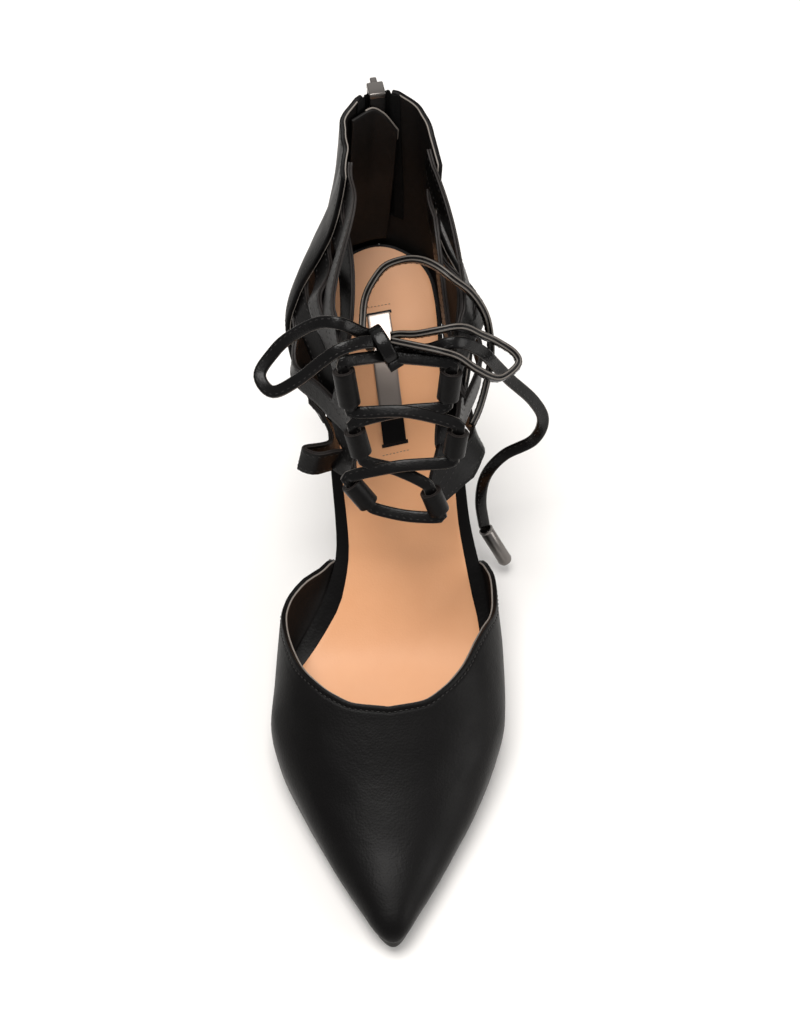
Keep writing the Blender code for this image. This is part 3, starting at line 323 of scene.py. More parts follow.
class Last:
    """Bottom and skin of the last."""

    side_turn = 0.24
    crown_power = 2.0 / 2.15

    def edge(self, side: Side, station: float) -> float:
        """Signed reach of the bottom outline."""
        return side.value * OUTLINE.read(side.label, station)

    def slope(self, station: float) -> float:
        """Slope angle of the bottom."""
        before, after = max(station - 1.0, 0.0), min(station + 1.0, LENGTH)
        return math.atan2(PROFILE.read("height", after) - PROFILE.read("height", before), after - before)

    def bottom(self, side: float, station: float, offset: float) -> Vector:
        """Point a distance off the bottom, measured square to it."""
        slope = self.slope(station)
        return place(side, station - offset * math.sin(slope),
                     PROFILE.read("height", station) + offset * math.cos(slope))

    def inset(self, side: Side, station: float, inset: float) -> tuple[float, float]:
        """Plan point of the outline moved inwards along its own normal.

        Args:
            side: side of the outline.
            station: place along the shoe.
            inset: distance inwards.

        Returns:
            Side coordinate and station of the moved point.
        """
        if station <= 0.0 or station >= LENGTH:
            return 0.0, station + (inset if station <= 0.0 else -inset)
        step = 0.02
        key = rounded(station)
        before, after = station_at(max(key - step, 0.0)), station_at(min(key + step, math.pi))
        run = after - before
        rise = self.edge(side, after) - self.edge(side, before)
        size = math.hypot(run, rise)
        return (self.edge(side, station) - side.value * inset * run / size,
                station + side.value * inset * rise / size)

    def skin(self, side: Side, station: float, sweep: float) -> Vector:
        """Point on the forepart, with sweep 0 at the sole edge and 1 at the crown."""
        foot = self.edge(side, station)
        wide = side.value * LAST.read(side.label, station)
        rise = LAST.read("wide_rise", station)
        crown = LAST.read("crown_rise", station)
        base = PROFILE.read("height", station)
        if sweep <= self.side_turn:
            angle = math.pi / 2.0 * sweep / self.side_turn
            return place(foot + (wide - foot) * math.sin(angle), station,
                         base + rise * (1.0 - math.cos(angle)))
        angle = math.pi / 2.0 * (sweep - self.side_turn) / (1.0 - self.side_turn)
        return place(wide * max(math.cos(angle), 0.0) ** self.crown_power, station,
                     base + rise + (crown - rise) * math.sin(angle) ** self.crown_power)


class QuarterForm:
    """Outer face of the back quarter, by arc length from the back centre and by level."""

    collar_back = 165.0
    collar_front = 153.0
    collar_twist = math.radians(10.0)
    collar_shift = 1.5
    twist_station = 215.0
    reach_seat = 69.0
    reach_collar = 38.0
    flare_start = 22.0
    collar_flat = 8.0
    arc_share = 0.42
    arc_steps = 240
    step = 1.5
    level_step = 0.02

    def __init__(self, last: Last) -> None:
        """Measure the seat's outline on both sides of the back centre."""
        self.arcs = {side: self._arc(last, side) for side in Side}

    def _arc(self, last: Last, side: Side) -> tuple[np.ndarray, np.ndarray]:
        """Arc lengths and plan points along one side of the seat."""
        points = []
        for share in spread(0.0, self.arc_share, self.arc_steps + 1):
            station = station_at(math.pi * (1.0 - share))
            points.append((last.edge(side, station), station))
        steps = [math.dist(before, after) for before, after in zip(points, points[1:])]
        return np.concatenate(([0.0], np.cumsum(steps))), np.array(points)

    def _seat(self, reach: float) -> tuple[np.ndarray, np.ndarray]:
        """Plan point and outward normal at a signed arc length from the back centre."""
        side = Side.LATERAL if reach >= 0.0 else Side.MEDIAL
        run, points = self.arcs[side]

        def at(distance: float) -> np.ndarray:
            """Plan point at an unsigned arc length."""
            return np.array([np.interp(distance, run, points[:, axis]) for axis in (0, 1)])

        ahead, behind = at(abs(reach) + self.step), at(max(abs(reach) - self.step, 0.0))
        if abs(reach) < self.step:
            behind = at(self.step - abs(reach)) * np.array([-1.0, 1.0])
        along = (ahead - behind) / np.linalg.norm(ahead - behind)
        return at(abs(reach)), np.array([side.value * -along[1], side.value * along[0]])

    def front(self, level: float) -> float:
        """Arc length from the back centre to the front edge."""
        return self.reach_seat + (self.reach_collar - self.reach_seat) * level

    def skin(self, reach: float, level: float) -> Vector:
        """Point on the outer face."""
        spot, normal = self._seat(reach)
        back = normal[1] ** 2 if normal[1] > 0.0 else 0.0
        flare = ease((abs(reach) - self.flare_start) / (self.front(level) - self.flare_start))
        name = (Side.LATERAL if reach >= 0.0 else Side.MEDIAL).label
        edge = QUARTER.read(name + "_front", level)
        beside = QUARTER.read(name, level)
        off = back * QUARTER.read("back", level) + (1.0 - back) * (beside + (edge - beside) * flare)
        side, station = spot + normal * off
        turn = self.collar_twist * level
        away = station - self.twist_station
        turned = side * math.cos(turn) - away * math.sin(turn) + self.collar_shift * level
        station = self.twist_station + side * math.sin(turn) + away * math.cos(turn)
        base = PROFILE.read("height", spot[1])
        share = (abs(reach) - self.collar_flat) / (self.reach_collar - self.collar_flat)
        share = min(max(share, 0.0), 1.0)
        top = self.collar_back + (self.collar_front - self.collar_back) * share
        return place(turned, station, base + (top - base) * level)

    def normal(self, reach: float, level: float) -> Vector:
        """Outward normal of the outer face."""
        along = self.skin(reach + self.step, level) - self.skin(reach - self.step, level)
        low, high = max(level - self.level_step, 0.0), min(level + self.level_step, 1.0)
        return (self.skin(reach, high) - self.skin(reach, low)).cross(along).normalized()

    def point(self, reach: float, level: float, inward: float = 0.0) -> Vector:
        """Point on the outer face, or a distance inside it."""
        return self.skin(reach, level) - self.normal(reach, level) * inward * MM

    def level_at(self, reach: float, height: float) -> float:
        """Level that has a height at one arc length."""
        low, high = self.skin(reach, 0.0).z, self.skin(reach, 1.0).z
        return (height * MM - low) / (high - low)


# Finishes


def srgb(code: str) -> tuple[float, float, float, float]:
    """Linear colour of an sRGB hex value."""
    parts = [int(code[index:index + 2], 16) / 255.0 for index in (1, 3, 5)]
    linear = [part / 12.92 if part <= 0.04045 else ((part + 0.055) / 1.055) ** 2.4 for part in parts]
    return (*linear, 1.0)


def add_node(tree: bpy.types.NodeTree, kind: str, values: Optional[dict] = None,
             links: Optional[dict] = None, **settings: object) -> bpy.types.Node:
    """Add a node with its settings and links.

    Args:
        tree: tree that gets the node.
        kind: node type.
        values: input socket to its plain value.
        links: input socket to the output that feeds it.
        settings: attributes of the node.

    Returns:
        The new node.
    """
    node = tree.nodes.new(kind)
    for name, value in settings.items():
        setattr(node, name, value)
    for socket, value in (values or {}).items():
        node.inputs[socket].default_value = value
    for socket, source in (links or {}).items():
        tree.links.new(source, node.inputs[socket])
    return node


@dataclass(frozen=True)
class Finish:
    """A surface: what it is made of, and the numbers that the eye reads from it."""

    name: str
    colour: str
    roughness: float
    metallic: float = 0.0
    sheen: float = 0.0
    specular: float = 0.5

    def material(self) -> bpy.types.Material:
        """The finish as a material, made on first use."""
        made = bpy.data.materials.get(self.name)
        if made is None:
            made = bpy.data.materials.new(self.name)
            made.use_nodes = True
            shader = made.node_tree.nodes["Principled BSDF"]
            for socket, value in (("Base Color", srgb(self.colour)), ("Roughness", self.roughness),
                                  ("Metallic", self.metallic), ("Sheen Weight", self.sheen),
                                  ("Specular IOR Level", self.specular)):
                shader.inputs[socket].default_value = value
            made.diffuse_color = srgb(self.colour)
            self.pattern(made.node_tree, shader)
        return made

    def pattern(self, tree: bpy.types.NodeTree, shader: bpy.types.Node) -> None:
        """Feed the shader's sockets; a plain finish feeds none."""


@dataclass(frozen=True)
class Grained(Finish):
    """Leather, close weave or moulded plastic: fine grain, softer wrinkles with painted shade in their
    troughs and painted highlight on their ridges, and patches of gloss.
    """

    pale: str = "#1c1c1d"
    grain_mm: float = 0.7
    grain_depth_mm: float = 0.05
    wrinkle_mm: float = 5.0
    wrinkle_depth_mm: float = 0.12
    patch_mm: float = 22.0
    gloss_spread: float = 0.06

    def pattern(self, tree: bpy.types.NodeTree, shader: bpy.types.Node) -> None:
        """Grain and wrinkles as bump, patches as roughness; the colour is painted shade in the wrinkle
        troughs and painted highlight on their ridges.
        """
        spot = add_node(tree, "ShaderNodeTexCoord").outputs["Object"]
        grain = add_node(tree, "ShaderNodeTexVoronoi",
                         {"Scale": 1.0 / (self.grain_mm * MM), "Randomness": 0.9},
                         {"Vector": spot}, feature="SMOOTH_F1")
        wrinkle, patch = (
            add_node(tree, "ShaderNodeTexNoise", {"Scale": 1.0 / (size * MM), "Detail": detail},
                     {"Vector": spot})
            for size, detail in ((self.wrinkle_mm, 3.0), (self.patch_mm, 2.0)))
        gloss = add_node(tree, "ShaderNodeMapRange", {
            "From Min": 0.3, "From Max": 0.7, "To Min": self.roughness - self.gloss_spread,
            "To Max": self.roughness + self.gloss_spread}, {"Value": patch.outputs["Fac"]})
        # Painted shade and highlight: the base colour in the wrinkle troughs, the pale colour on their
        # ridges
        wrinkle_shading = add_node(tree, "ShaderNodeMix", {"A": srgb(self.colour), "B": srgb(self.pale)},
                        {"Factor": wrinkle.outputs["Fac"]}, data_type="RGBA")
        low = add_node(tree, "ShaderNodeBump", {"Strength": 1.0, "Distance": self.wrinkle_depth_mm * MM},
                       {"Height": wrinkle.outputs["Fac"]})
        fine = add_node(tree, "ShaderNodeBump", {"Strength": 1.0, "Distance": self.grain_depth_mm * MM},
                        {"Height": grain.outputs["Distance"], "Normal": low.outputs["Normal"]})
        tree.links.new(wrinkle_shading.outputs["Result"], shader.inputs["Base Color"])
        tree.links.new(gloss.outputs["Result"], shader.inputs["Roughness"])
        tree.links.new(fine.outputs["Normal"], shader.inputs["Normal"])


# Plated calf is dyed through and pressed smooth: near black, with broad, weak highlights
BLACK_CALF = Grained("black_calf_smooth_plated", "#050404", 0.46, specular=0.12, pale="#090808")
STRAP_CALF = Grained("black_strap_calf", "#050404", 0.38, specular=0.13, pale="#090808", wrinkle_mm=4.0)
LACE_CALF = Grained("black_lace_calf", "#050404", 0.28, specular=0.2, pale="#090808", grain_mm=0.5,
                    wrinkle_mm=3.0)

# Split leather and the cut edges of laces and straps show bare fibre: matt, and paler where less dye reached
LINING = Grained("dark_split_lining", "#0c0a09", 0.55, specular=0.22, pale="#141110", grain_mm=0.5)
# Painted highlight: a pale line where the edges of the lining and the guard catch the light
EDGE_HIGHLIGHT = Grained("painted_edge_highlight", "#6b655f", 0.5, pale="#857d76", grain_mm=0.4, wrinkle_mm=2.0)
LACE_EDGE = Grained("cut_lace_edge", "#4c4742", 0.5, pale="#655e57", grain_mm=0.4, wrinkle_mm=2.0)
DARK_EDGE = Grained("dyed_leather_edge", "#1c1918", 0.5, specular=0.25, pale="#2a2523", grain_mm=0.4,
                    wrinkle_mm=2.0)

# Lining kid is thin, fine and matt, with broad soft wrinkles where the foot has pressed
NUDE_KID = Grained("nude_kid_sock", "#e6a677", 0.5, specular=0.4, pale="#ebae80", grain_mm=0.6,
                   grain_depth_mm=0.03, wrinkle_mm=9.0, wrinkle_depth_mm=0.1, patch_mm=40.0)

# Sole, heel cover and top piece: waxed leather, stretched leather and moulded polyurethane
SOLE_LEATHER = Grained("black_sole_leather", "#0d0b0a", 0.5, specular=0.2, pale="#151311", grain_mm=0.9)
HEEL_COVER = Grained("black_heel_cover_calf", "#060505", 0.4, specular=0.15, pale="#0a0909", wrinkle_mm=8.0,
                     wrinkle_depth_mm=0.05)
TOP_PIECE = Grained("black_polyurethane_top_piece", "#0b0b0b", 0.62, specular=0.2, pale="#111111",
                    grain_mm=0.4)

# Zip, threads and metal: matt woven tape, glossy drawn nylon, twisted thread, plated and rolled metal
ZIP_TAPE = Grained("black_polyester_zip_tape", "#090909", 0.85, specular=0.15, pale="#0f0f0f", grain_mm=0.4)
ZIP_COIL = Finish("black_nylon_zip_coil", "#1b1b1c", 0.35)
THREAD = Finish("charcoal_polyester_thread", "#1d1b1a", 0.5, specular=0.3)
SOCK_THREAD = Finish("tan_polyester_thread", "#a4805f", 0.55, sheen=0.3)
GUNMETAL = Finish("gunmetal_plated_zinc", "#6f6b68", 0.3, metallic=1.0)
BLACK_METAL = Finish("black_enamelled_zinc", "#0e0d0d", 0.35, specular=0.3)
BRIGHT_STEEL = Finish("bright_rolled_steel", "#a0958e", 0.34, metallic=1.0)
PALE_FLOOR = Finish("pale_matt_studio_floor", "#f3f1ef", 0.7)


# Making pieces


def mapped_sheet(columns: Sequence[float], rows: Sequence[float],
                 form: Callable[[float, float], Vector]) -> bmesh.types.BMesh:
    """Bend a grid onto a form.

    Args:
        columns: first parameter at each grid column.
        rows: second parameter at each grid row.
        form: place of each pair of parameters.

    Returns:
        The sheet, with its parameters in the vertex layers "column" and "row".
    """
    sheet = bmesh.new()
    wide, tall = len(columns) - 1, len(rows) - 1
    bmesh.ops.create_grid(sheet, x_segments=wide, y_segments=tall, size=1.0)
    column_layer = sheet.verts.layers.float.new("column")
    row_layer = sheet.verts.layers.float.new("row")
    for vert in sheet.verts:
        column = columns[round((vert.co.x + 1.0) / 2.0 * wide)]
        row = rows[round((vert.co.y + 1.0) / 2.0 * tall)]
        vert[column_layer] = column
        vert[row_layer] = row
        vert.co = form(column, row)
    return sheet


def close(shape: bmesh.types.BMesh, away: Optional[Vector] = None) -> bmesh.types.BMesh:
    """Weld a sheet's meeting edges and turn its faces out.

    Args:
        shape: sheet or tube to weld.
        away: point that an open sheet faces away from.

    Returns:
        The same shape.
    """
    bmesh.ops.remove_doubles(shape, verts=shape.verts, dist=WELD)
    bmesh.ops.recalc_face_normals(shape, faces=shape.faces)
    if away is not None:
        shape.normal_update()
        facing = sum(face.normal.dot(face.calc_center_median() - away) * face.calc_area()
                     for face in shape.faces)
        if facing < 0.0:
            bmesh.ops.reverse_faces(shape, faces=shape.faces)
    return shape


def cap(shape: bmesh.types.BMesh) -> bmesh.types.BMesh:
    """Fill the open rings of a tube and turn its faces out."""
    bmesh.ops.remove_doubles(shape, verts=shape.verts, dist=WELD)
    bmesh.ops.holes_fill(shape, edges=[edge for edge in shape.edges if edge.is_boundary], sides=0)
    bmesh.ops.recalc_face_normals(shape, faces=shape.faces)
    return shape


def swept(frames: Sequence[Matrix], section: Sequence[tuple[float, float]]) -> bmesh.types.BMesh:
    """Tube of one section along some frames, open at both ends.

    Args:
        frames: place and turn of the section at each step.
        section: points round the section, across and up, in millimetres.

    Returns:
        The tube, with the section's point in the vertex layer "column".
    """
    count = len(section)

    def skin(around: int, index: int) -> Vector:
        """Point round the section at one frame."""
        across, up = section[around % count]
        return frames[index] @ Vector((0.0, across * MM, up * MM))

    return mapped_sheet(range(count + 1), range(len(frames)), skin)


def show(name: str, mesh: bpy.types.Mesh, looks: Sequence[bpy.types.Material]) -> bpy.types.Object:
    """Object of a mesh in the scene, shaded smooth, with its materials in order."""
    mesh.shade_smooth()
    for look in looks:
        mesh.materials.append(look)
    made = bpy.data.objects.new(name, mesh)
    bpy.context.scene.collection.objects.link(made)
    return made


def new_piece(name: str, shape: bmesh.types.BMesh, *finishes: Finish) -> bpy.types.Object:
    """Object of a shape, with its finishes in order."""
    mesh = bpy.data.meshes.new(name)
    shape.to_mesh(mesh)
    shape.free()
    return show(name, mesh, [finish.material() for finish in finishes])


def thicken(piece: bpy.types.Object, thick: float, offset: float, inner: int = 0, rim: int = 0) -> None:
    """Give a sheet a wall, with the finishes of its inner face and of its rim."""
    wall = piece.modifiers.new("wall", "SOLIDIFY")
    wall.thickness = thick * MM
    wall.offset = offset
    wall.use_quality_normals = True
    wall.material_offset = inner
    wall.material_offset_rim = rim


def soften(piece: bpy.types.Object, width: float, segments: int = 2, angle: float = 40.0) -> None:
    """Round the sharp edges of a piece."""
    edge = piece.modifiers.new("edge", "BEVEL")
    edge.width = width * MM
    edge.segments = segments
    edge.limit_method = "ANGLE"
    edge.angle_limit = math.radians(angle)


def bake(name: str, *pieces: bpy.types.Object) -> bpy.types.Object:
    """Apply the modifiers of pieces and join them into one object.

    Args:
        name: name of the joined piece.
        pieces: pieces with the same finishes.

    Returns:
        The joined piece.
    """
    bpy.context.view_layer.update()
    graph = bpy.context.evaluated_depsgraph_get()
    shape = bmesh.new()
    looks = list(pieces[0].data.materials)
    for piece in pieces:
        part = bpy.data.meshes.new_from_object(piece.evaluated_get(graph))
        shape.from_mesh(part)
        bpy.data.meshes.remove(part)
    for piece in pieces:
        bpy.data.objects.remove(piece, do_unlink=True)
    mesh = bpy.data.meshes.new(name)
    shape.to_mesh(mesh)
    shape.free()
    made = show(name, mesh, looks)
    mesh.set_sharp_from_angle(angle=math.radians(SHARP_ANGLE))
    return made


def settle(piece: bpy.types.Object, slot: str, *nodes: str, body: Body = Body.SHOE) -> bpy.types.Object:
    """Fix a piece to its body and hide the solids that it stands for."""
    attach(piece, body.value)
    if nodes:
        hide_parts(*nodes)
    LOG.info("%s: %d faces", piece.name, len(piece.data.polygons))
    return piece


def scatter(name: str, template: bmesh.types.BMesh, places: Sequence[Matrix],
            finish: Finish) -> bpy.types.Object:
    """Join one copy of a small shape for each place into one piece.

    Args:
        name: name of the piece.
        template: small shape round the origin, in metres.
        places: place, turn and size of each copy.
        finish: finish of the piece.

    Returns:
        The piece.
    """
    template.verts.index_update()
    corners = np.array([(*vert.co, 1.0) for vert in template.verts])
    faces = [[vert.index for vert in face.verts] for face in template.faces]
    template.free()
    verts = np.concatenate([corners @ np.array(spot).T[:, :3] for spot in places])
    count = len(corners)
    every = [[corner + index * count for corner in face] for index in range(len(places)) for face in faces]
    mesh = bpy.data.meshes.new(name)
    mesh.from_pydata(verts.tolist(), [], every)
    return show(name, mesh, [finish.material()])


def frame_at(point: Vector, along: Vector, normal: Vector) -> Matrix:
    """Frame with X along a line and Z on a normal."""
    first = along.normalized()
    third = (normal - first * normal.dot(first)).normalized()
    made = Matrix((first, third.cross(first), third)).transposed().to_4x4()
    made.translation = point
    return made


@dataclass(frozen=True)
class Seam:
    """A row of lockstitches: the size of each one and the space between them."""

    length: float = 1.3
    pitch: float = 1.9
    width: float = 0.46
    height: float = 0.4

    def places(self, path: Sequence[tuple[Vector, Vector]]) -> list[Matrix]:
        """Places of the stitches along a path of points with normals.

        Args:
            path: points on the surface and the surface's normals there.

        Returns:
            One matrix for each stitch.
        """
        points = [point for point, _ in path]
        run = run_along(points)
        found = []
        half = MM / 2.0
        size = Matrix.Diagonal((self.length * half, self.width * half, self.height * half, 1.0))
        for distance in np.arange(self.pitch * half, run[-1], self.pitch * MM):
            index = int(min(np.searchsorted(run, distance, side="right") - 1, len(points) - 2))
            share = (distance - run[index]) / max(run[index + 1] - run[index], WELD)
            point = points[index].lerp(points[index + 1], share)
            normal = path[index][1].lerp(path[index + 1][1], share)
            found.append(frame_at(point, points[index + 1] - points[index], normal) @ size)
        return found

    def piece(self, name: str, places: Sequence[Matrix], thread: Finish = THREAD) -> bpy.types.Object:
        """Piece with all the stitches."""
        stitch = bmesh.new()
        bmesh.ops.create_uvsphere(stitch, u_segments=6, v_segments=4, radius=1.0)
        return scatter(name, stitch, places, thread)


def bead(name: str, paths: Sequence[Sequence[Vector]], radius: float) -> bpy.types.Object:
    """Thin pale lines along some paths: painted highlight where the edges of the leather catch the light.

    Args:
        name: name of the piece.
        paths: points along each edge.
        radius: half the width of a line, in millimetres.

    Returns:
        One piece with all the highlight lines.
    """
    around = spread(0.0, 2.0 * math.pi, 9)[:-1]
    section = [(radius * math.cos(angle), radius * math.sin(angle)) for angle in around]
    made = []
    for path in paths:
        frames = [frame_at(point, along, OFF_AXIS) for point, along in zip(path, tangents(path))]
        made.append(new_piece(name, cap(swept(frames, section)), EDGE_HIGHLIGHT))
    return bake(name, *made)


# Sub-assemblies of the shoe


@dataclass
class Vamp:
    """Pointed vamp with a folded topline and a dark lining."""

    last: Last
    half_columns: int = 60
    main_rows: int = 56
    edge_rows: int = 16
    edge_band: float = 5.0
    main_share: float = 0.8
    toe_power: float = 1.7
    fold_inset: float = 0.9
    fold_half: float = 0.8
    fold_height: float = 0.22
    groove_half: float = 0.45
    groove_depth: float = 0.2
    ridge_share: float = 0.4
    ridge_away: float = 1.3
    stitch_inset: float = 2.0
    stitch_reach: float = 0.86
    stitch_sink: float = 0.08
    lining_inset: float = 0.25
    lining_reach: float = 0.97
    highlight_radius: float = 0.3

    def topline(self, column: float) -> tuple[Side, float, float]:
        """Side, sweep and topline station of a column from -1 to 1."""
        side = Side.MEDIAL if column < 0.0 else Side.LATERAL
        sweep = 1.0 - abs(column)
        return side, sweep, TOPLINE.read(side.label, sweep)

    def at_share(self, column: float, share: float) -> Vector:
        """Point on the skin at a share of the way from the toe to the topline."""
        side, sweep, edge = self.topline(column)
        return self.last.skin(side, edge * share, sweep)

    def edge_speed(self, column: float) -> float:
        """Distance from the topline, in millimetres, that one share gives."""
        step = 0.004
        along = self.at_share(column, 1.0) - self.at_share(column, 1.0 - step)
        low, high = max(column - step, -1.0), min(column + step, 1.0)
        edge = (self.at_share(high, 1.0) - self.at_share(low, 1.0)).normalized()
        return (along - edge * along.dot(edge)).length / step / MM

    def skin(self, column: float, row: float, speed: Optional[float] = None) -> Vector:
        """Point on the skin: rows run from the toe, then in equal steps up to the topline."""
        speed = speed or self.edge_speed(column)
        cut = self.edge_band / speed
        if row <= self.main_share:
            return self.at_share(column, (1.0 - cut) * (row / self.main_share) ** self.toe_power)
        return self.at_share(column, 1.0 - cut * (1.0 - row) / (1.0 - self.main_share))

    def row_at(self, inset: float) -> float:
        """Row that lies a distance inside the topline."""
        return 1.0 - (1.0 - self.main_share) * inset / self.edge_band

    def surface(self, column: float, row: float) -> tuple[Vector, Vector]:
        """Point and outward normal."""
        step = 0.01
        across = self.skin(min(column + step, 1.0), row) - self.skin(max(column - step, -1.0), row)
        along = self.skin(column, min(row + step / 4.0, 1.0)) - self.skin(column, row - step / 4.0)
        return self.skin(column, row), across.cross(along).normalized() * -1.0

    def crease(self, column: float, row: float) -> float:
        """Depth of the soft troughs at a point, with a low ridge beside each."""
        depth = 0.0
        for start, start_row, end, end_row, half, deep in CREASES:
            share = (column - start) / (end - start)
            if 0.0 < share < 1.0:
                away = row - (start_row + (end_row - start_row) * share)
                ridge = self.ridge_share * hump(away, self.ridge_away * half, half)
                depth += deep * math.sin(math.pi * share) * (hump(away, 0.0, half) - ridge)
        return depth

    def build(self) -> list[bpy.types.Object]:
        """Vamp wall, its topline stitches and the painted highlight along the edge of its lining."""
        return [self.wall(), self.stitches(), self.lining_highlight()]

    def wall(self) -> bpy.types.Object:
        """Wall with a folded topline, a groove for its stitches and soft creases."""
        columns = spread(-1.0, 1.0, 2 * self.half_columns + 1)
        rows = spread(0.0, self.main_share, self.main_rows)
        rows += spread(self.main_share, 1.0, self.edge_rows)[1:]
        speeds = {column: self.edge_speed(column) for column in columns}
        sheet = mapped_sheet(columns, rows, lambda column, row: self.skin(column, row, speeds[column]))
        close(sheet, INSIDE_VAMP)
        row_layer = sheet.verts.layers.float["row"]
        column_layer = sheet.verts.layers.float["column"]
        moves = []
        for vert in sheet.verts:
            inset = (1.0 - vert[row_layer]) / (1.0 - self.main_share) * self.edge_band
            fold = self.fold_height * hump(inset, self.fold_inset, self.fold_half)
            groove = self.groove_depth * hump(inset, self.stitch_inset, self.groove_half)
            dent = self.crease(vert[column_layer], vert[row_layer])
            moves.append((vert, vert.normal * (fold - groove - dent) * MM))
        for vert, move in moves:
            vert.co += move
        wall = new_piece("vamp", sheet, BLACK_CALF, LINING)
        thicken(wall, UPPER_WALL, -1.0, inner=1)
        soften(wall, 0.5, 3, SHARP_ANGLE)
        return settle(bake("vamp", wall), "vamp_calf", "upper_vamp")

    def stitches(self) -> bpy.types.Object:
        """Stitches in the groove below the topline."""
        seam = Seam()
        path = []
        for column in spread(-self.stitch_reach, self.stitch_reach, 260):
            point, normal = self.surface(column, self.row_at(self.stitch_inset))
            path.append((point - normal * self.stitch_sink * MM, normal))
        return settle(seam.piece("vamp_topline_stitches", seam.places(path)), "vamp_calf")

    def lining_highlight(self) -> bpy.types.Object:
        """Painted highlight along the edge of the lining, on the inner side of the topline."""
        path = []
        for column in spread(-self.lining_reach, self.lining_reach, 160):
            point, normal = self.surface(column, self.row_at(self.lining_inset))
            inwards = math.copysign(LINING_DEEP, normal.dot(Vector((0.0, point.y, 0.0)) - point))
            path.append(point + normal * inwards * MM)
        return settle(bead("vamp_lining_highlight", [path], self.highlight_radius), "vamp_calf")


@dataclass
class Quarter:
    """Back quarter with its zip slot, folded edges and guard flap."""

    form: QuarterForm
    slot: float = 5.6
    foot: float = 0.2
    side_columns: int = 44
    rows_below: int = 12
    rows_above: int = 46
    edge_foot: float = 0.04
    seam_inset: float = 2.2
    seam_top: float = 0.974
    seam_sink: float = 0.1
    lining_inset: float = 0.3
    lining_top: float = 0.997
    highlight_radius: float = 0.26
    lining_end: float = 3.0
    guard_foot: float = 0.07
    guard_thick: float = 1.0
    guard_highlight_radius: float = 0.32
    guard_highlight_start: float = 0.3
    guard_highlight_end: tuple[float, float] = (0.96, 0.92)

    def build(self) -> list[bpy.types.Object]:
        """Quarter wall, guard flap, stitches and the painted highlight along the edge of the lining."""
        return [self.wall(), *self.guard(), self.seams(), self.lining_highlight()]

    def wall(self) -> bpy.types.Object:
        """Wall with the slot for the zip."""
        shares = spread(0.0, 1.0, self.side_columns)
        columns = [-1.0 - share for share in reversed(shares)] + [0.0] + [1.0 + share for share in shares]
        rows = spread(0.0, self.foot, self.rows_below) + spread(self.foot, 1.0, self.rows_above)[1:]

        def skin(column: float, level: float) -> Vector:
            """Point at a column: within 1 is the slot, then shares of the way to the front edge."""
            side = math.copysign(1.0, column)
            reach = self.form.front(level)
            away = abs(column)
            return self.form.skin(side * (self.slot * away if away <= 1.0 else
                                          self.slot + (reach - self.slot) * (away - 1.0)), level)

        sheet = mapped_sheet(columns, rows, skin)
        column_layer = sheet.verts.layers.float["column"]
        row_layer = sheet.verts.layers.float["row"]
        hole = [face for face in sheet.faces
                if max(abs(vert[column_layer]) for vert in face.verts) < 1.001
                and min(vert[row_layer] for vert in face.verts) > self.foot - 0.001]
        bmesh.ops.delete(sheet, geom=hole, context="FACES")
        wall = new_piece("quarter", close(sheet, INSIDE_QUARTER), BLACK_CALF, LINING)
        thicken(wall, UPPER_WALL, -1.0, inner=1)
        soften(wall, 0.5, 3, SHARP_ANGLE)
        return settle(bake("quarter", wall), "vamp_calf", "upper_quarter")

    def lining_highlight(self) -> bpy.types.Object:
        """Painted highlight along the edge of the lining, inside the collar and both front edges."""
        inset, top = self.lining_inset, self.lining_top
        paths = []
        for side in Side:
            front = [self.form.point(side.value * (self.form.front(level) - inset), level, LINING_DEEP)
                     for level in spread(self.edge_foot, top, 90)]
            collar = [self.form.point(side.value * reach, top, LINING_DEEP)
                      for reach in spread(self.form.front(1.0) - inset, self.slot + self.lining_end, 40)]
            paths.append(front + collar[1:])
        return settle(bead("quarter_lining_highlight", paths, self.highlight_radius), "vamp_calf")

    def seams(self) -> bpy.types.Object:
        """Stitches inside the collar and both front edges."""
        places: list[Matrix] = []
        seam, inset, top = Seam(), self.seam_inset, self.seam_top
        for side in Side:
            front = [(self.form.front(level) - inset, level) for level in spread(self.edge_foot, top, 160)]
            collar = [(reach, top) for reach in spread(self.slot + inset, self.form.front(1.0) - inset, 90)]
            for line in (front, collar):
                spots = [(side.value * reach, level) for reach, level in line]
                places += seam.places([(self.form.point(*spot, self.seam_sink), self.form.normal(*spot))
                                       for spot in spots])
        return settle(seam.piece("quarter_stitches", places), "vamp_calf")

    def guard(self) -> list[bpy.types.Object]:
        """Flap behind the zip, with a painted highlight line along its free sides."""

        def skin(share: float, rise: float) -> Vector:
            """Point on the flap's outer face."""
            low, high, top, inward = (GUARD.read(name, share) for name in GUARD_SHAPE)
            reach = low + (high - low) * rise
            level = self.guard_foot + (self.form.level_at(reach, top) - self.guard_foot) * rise
            return self.form.point(reach, level, inward)

        sheet = mapped_sheet(spread(0.0, 1.0, 25), spread(0.0, 1.0, 36), skin)
        flap = new_piece("guard", close(sheet, INSIDE_QUARTER), LINING)
        thicken(flap, self.guard_thick, -1.0)
        soften(flap, 0.25, 2, SHARP_ANGLE)
        edge = [skin(share, 1.0) for share in spread(self.guard_highlight_start, 1.0, 30)]
        edge += [skin(1.0, rise) for rise in self.guard_highlight_end]
        return [settle(bake("zip_guard_flap", flap), "vamp_calf", "zip_guard"),
                settle(bead("zip_guard_highlight", [edge], self.guard_highlight_radius), "vamp_calf")]


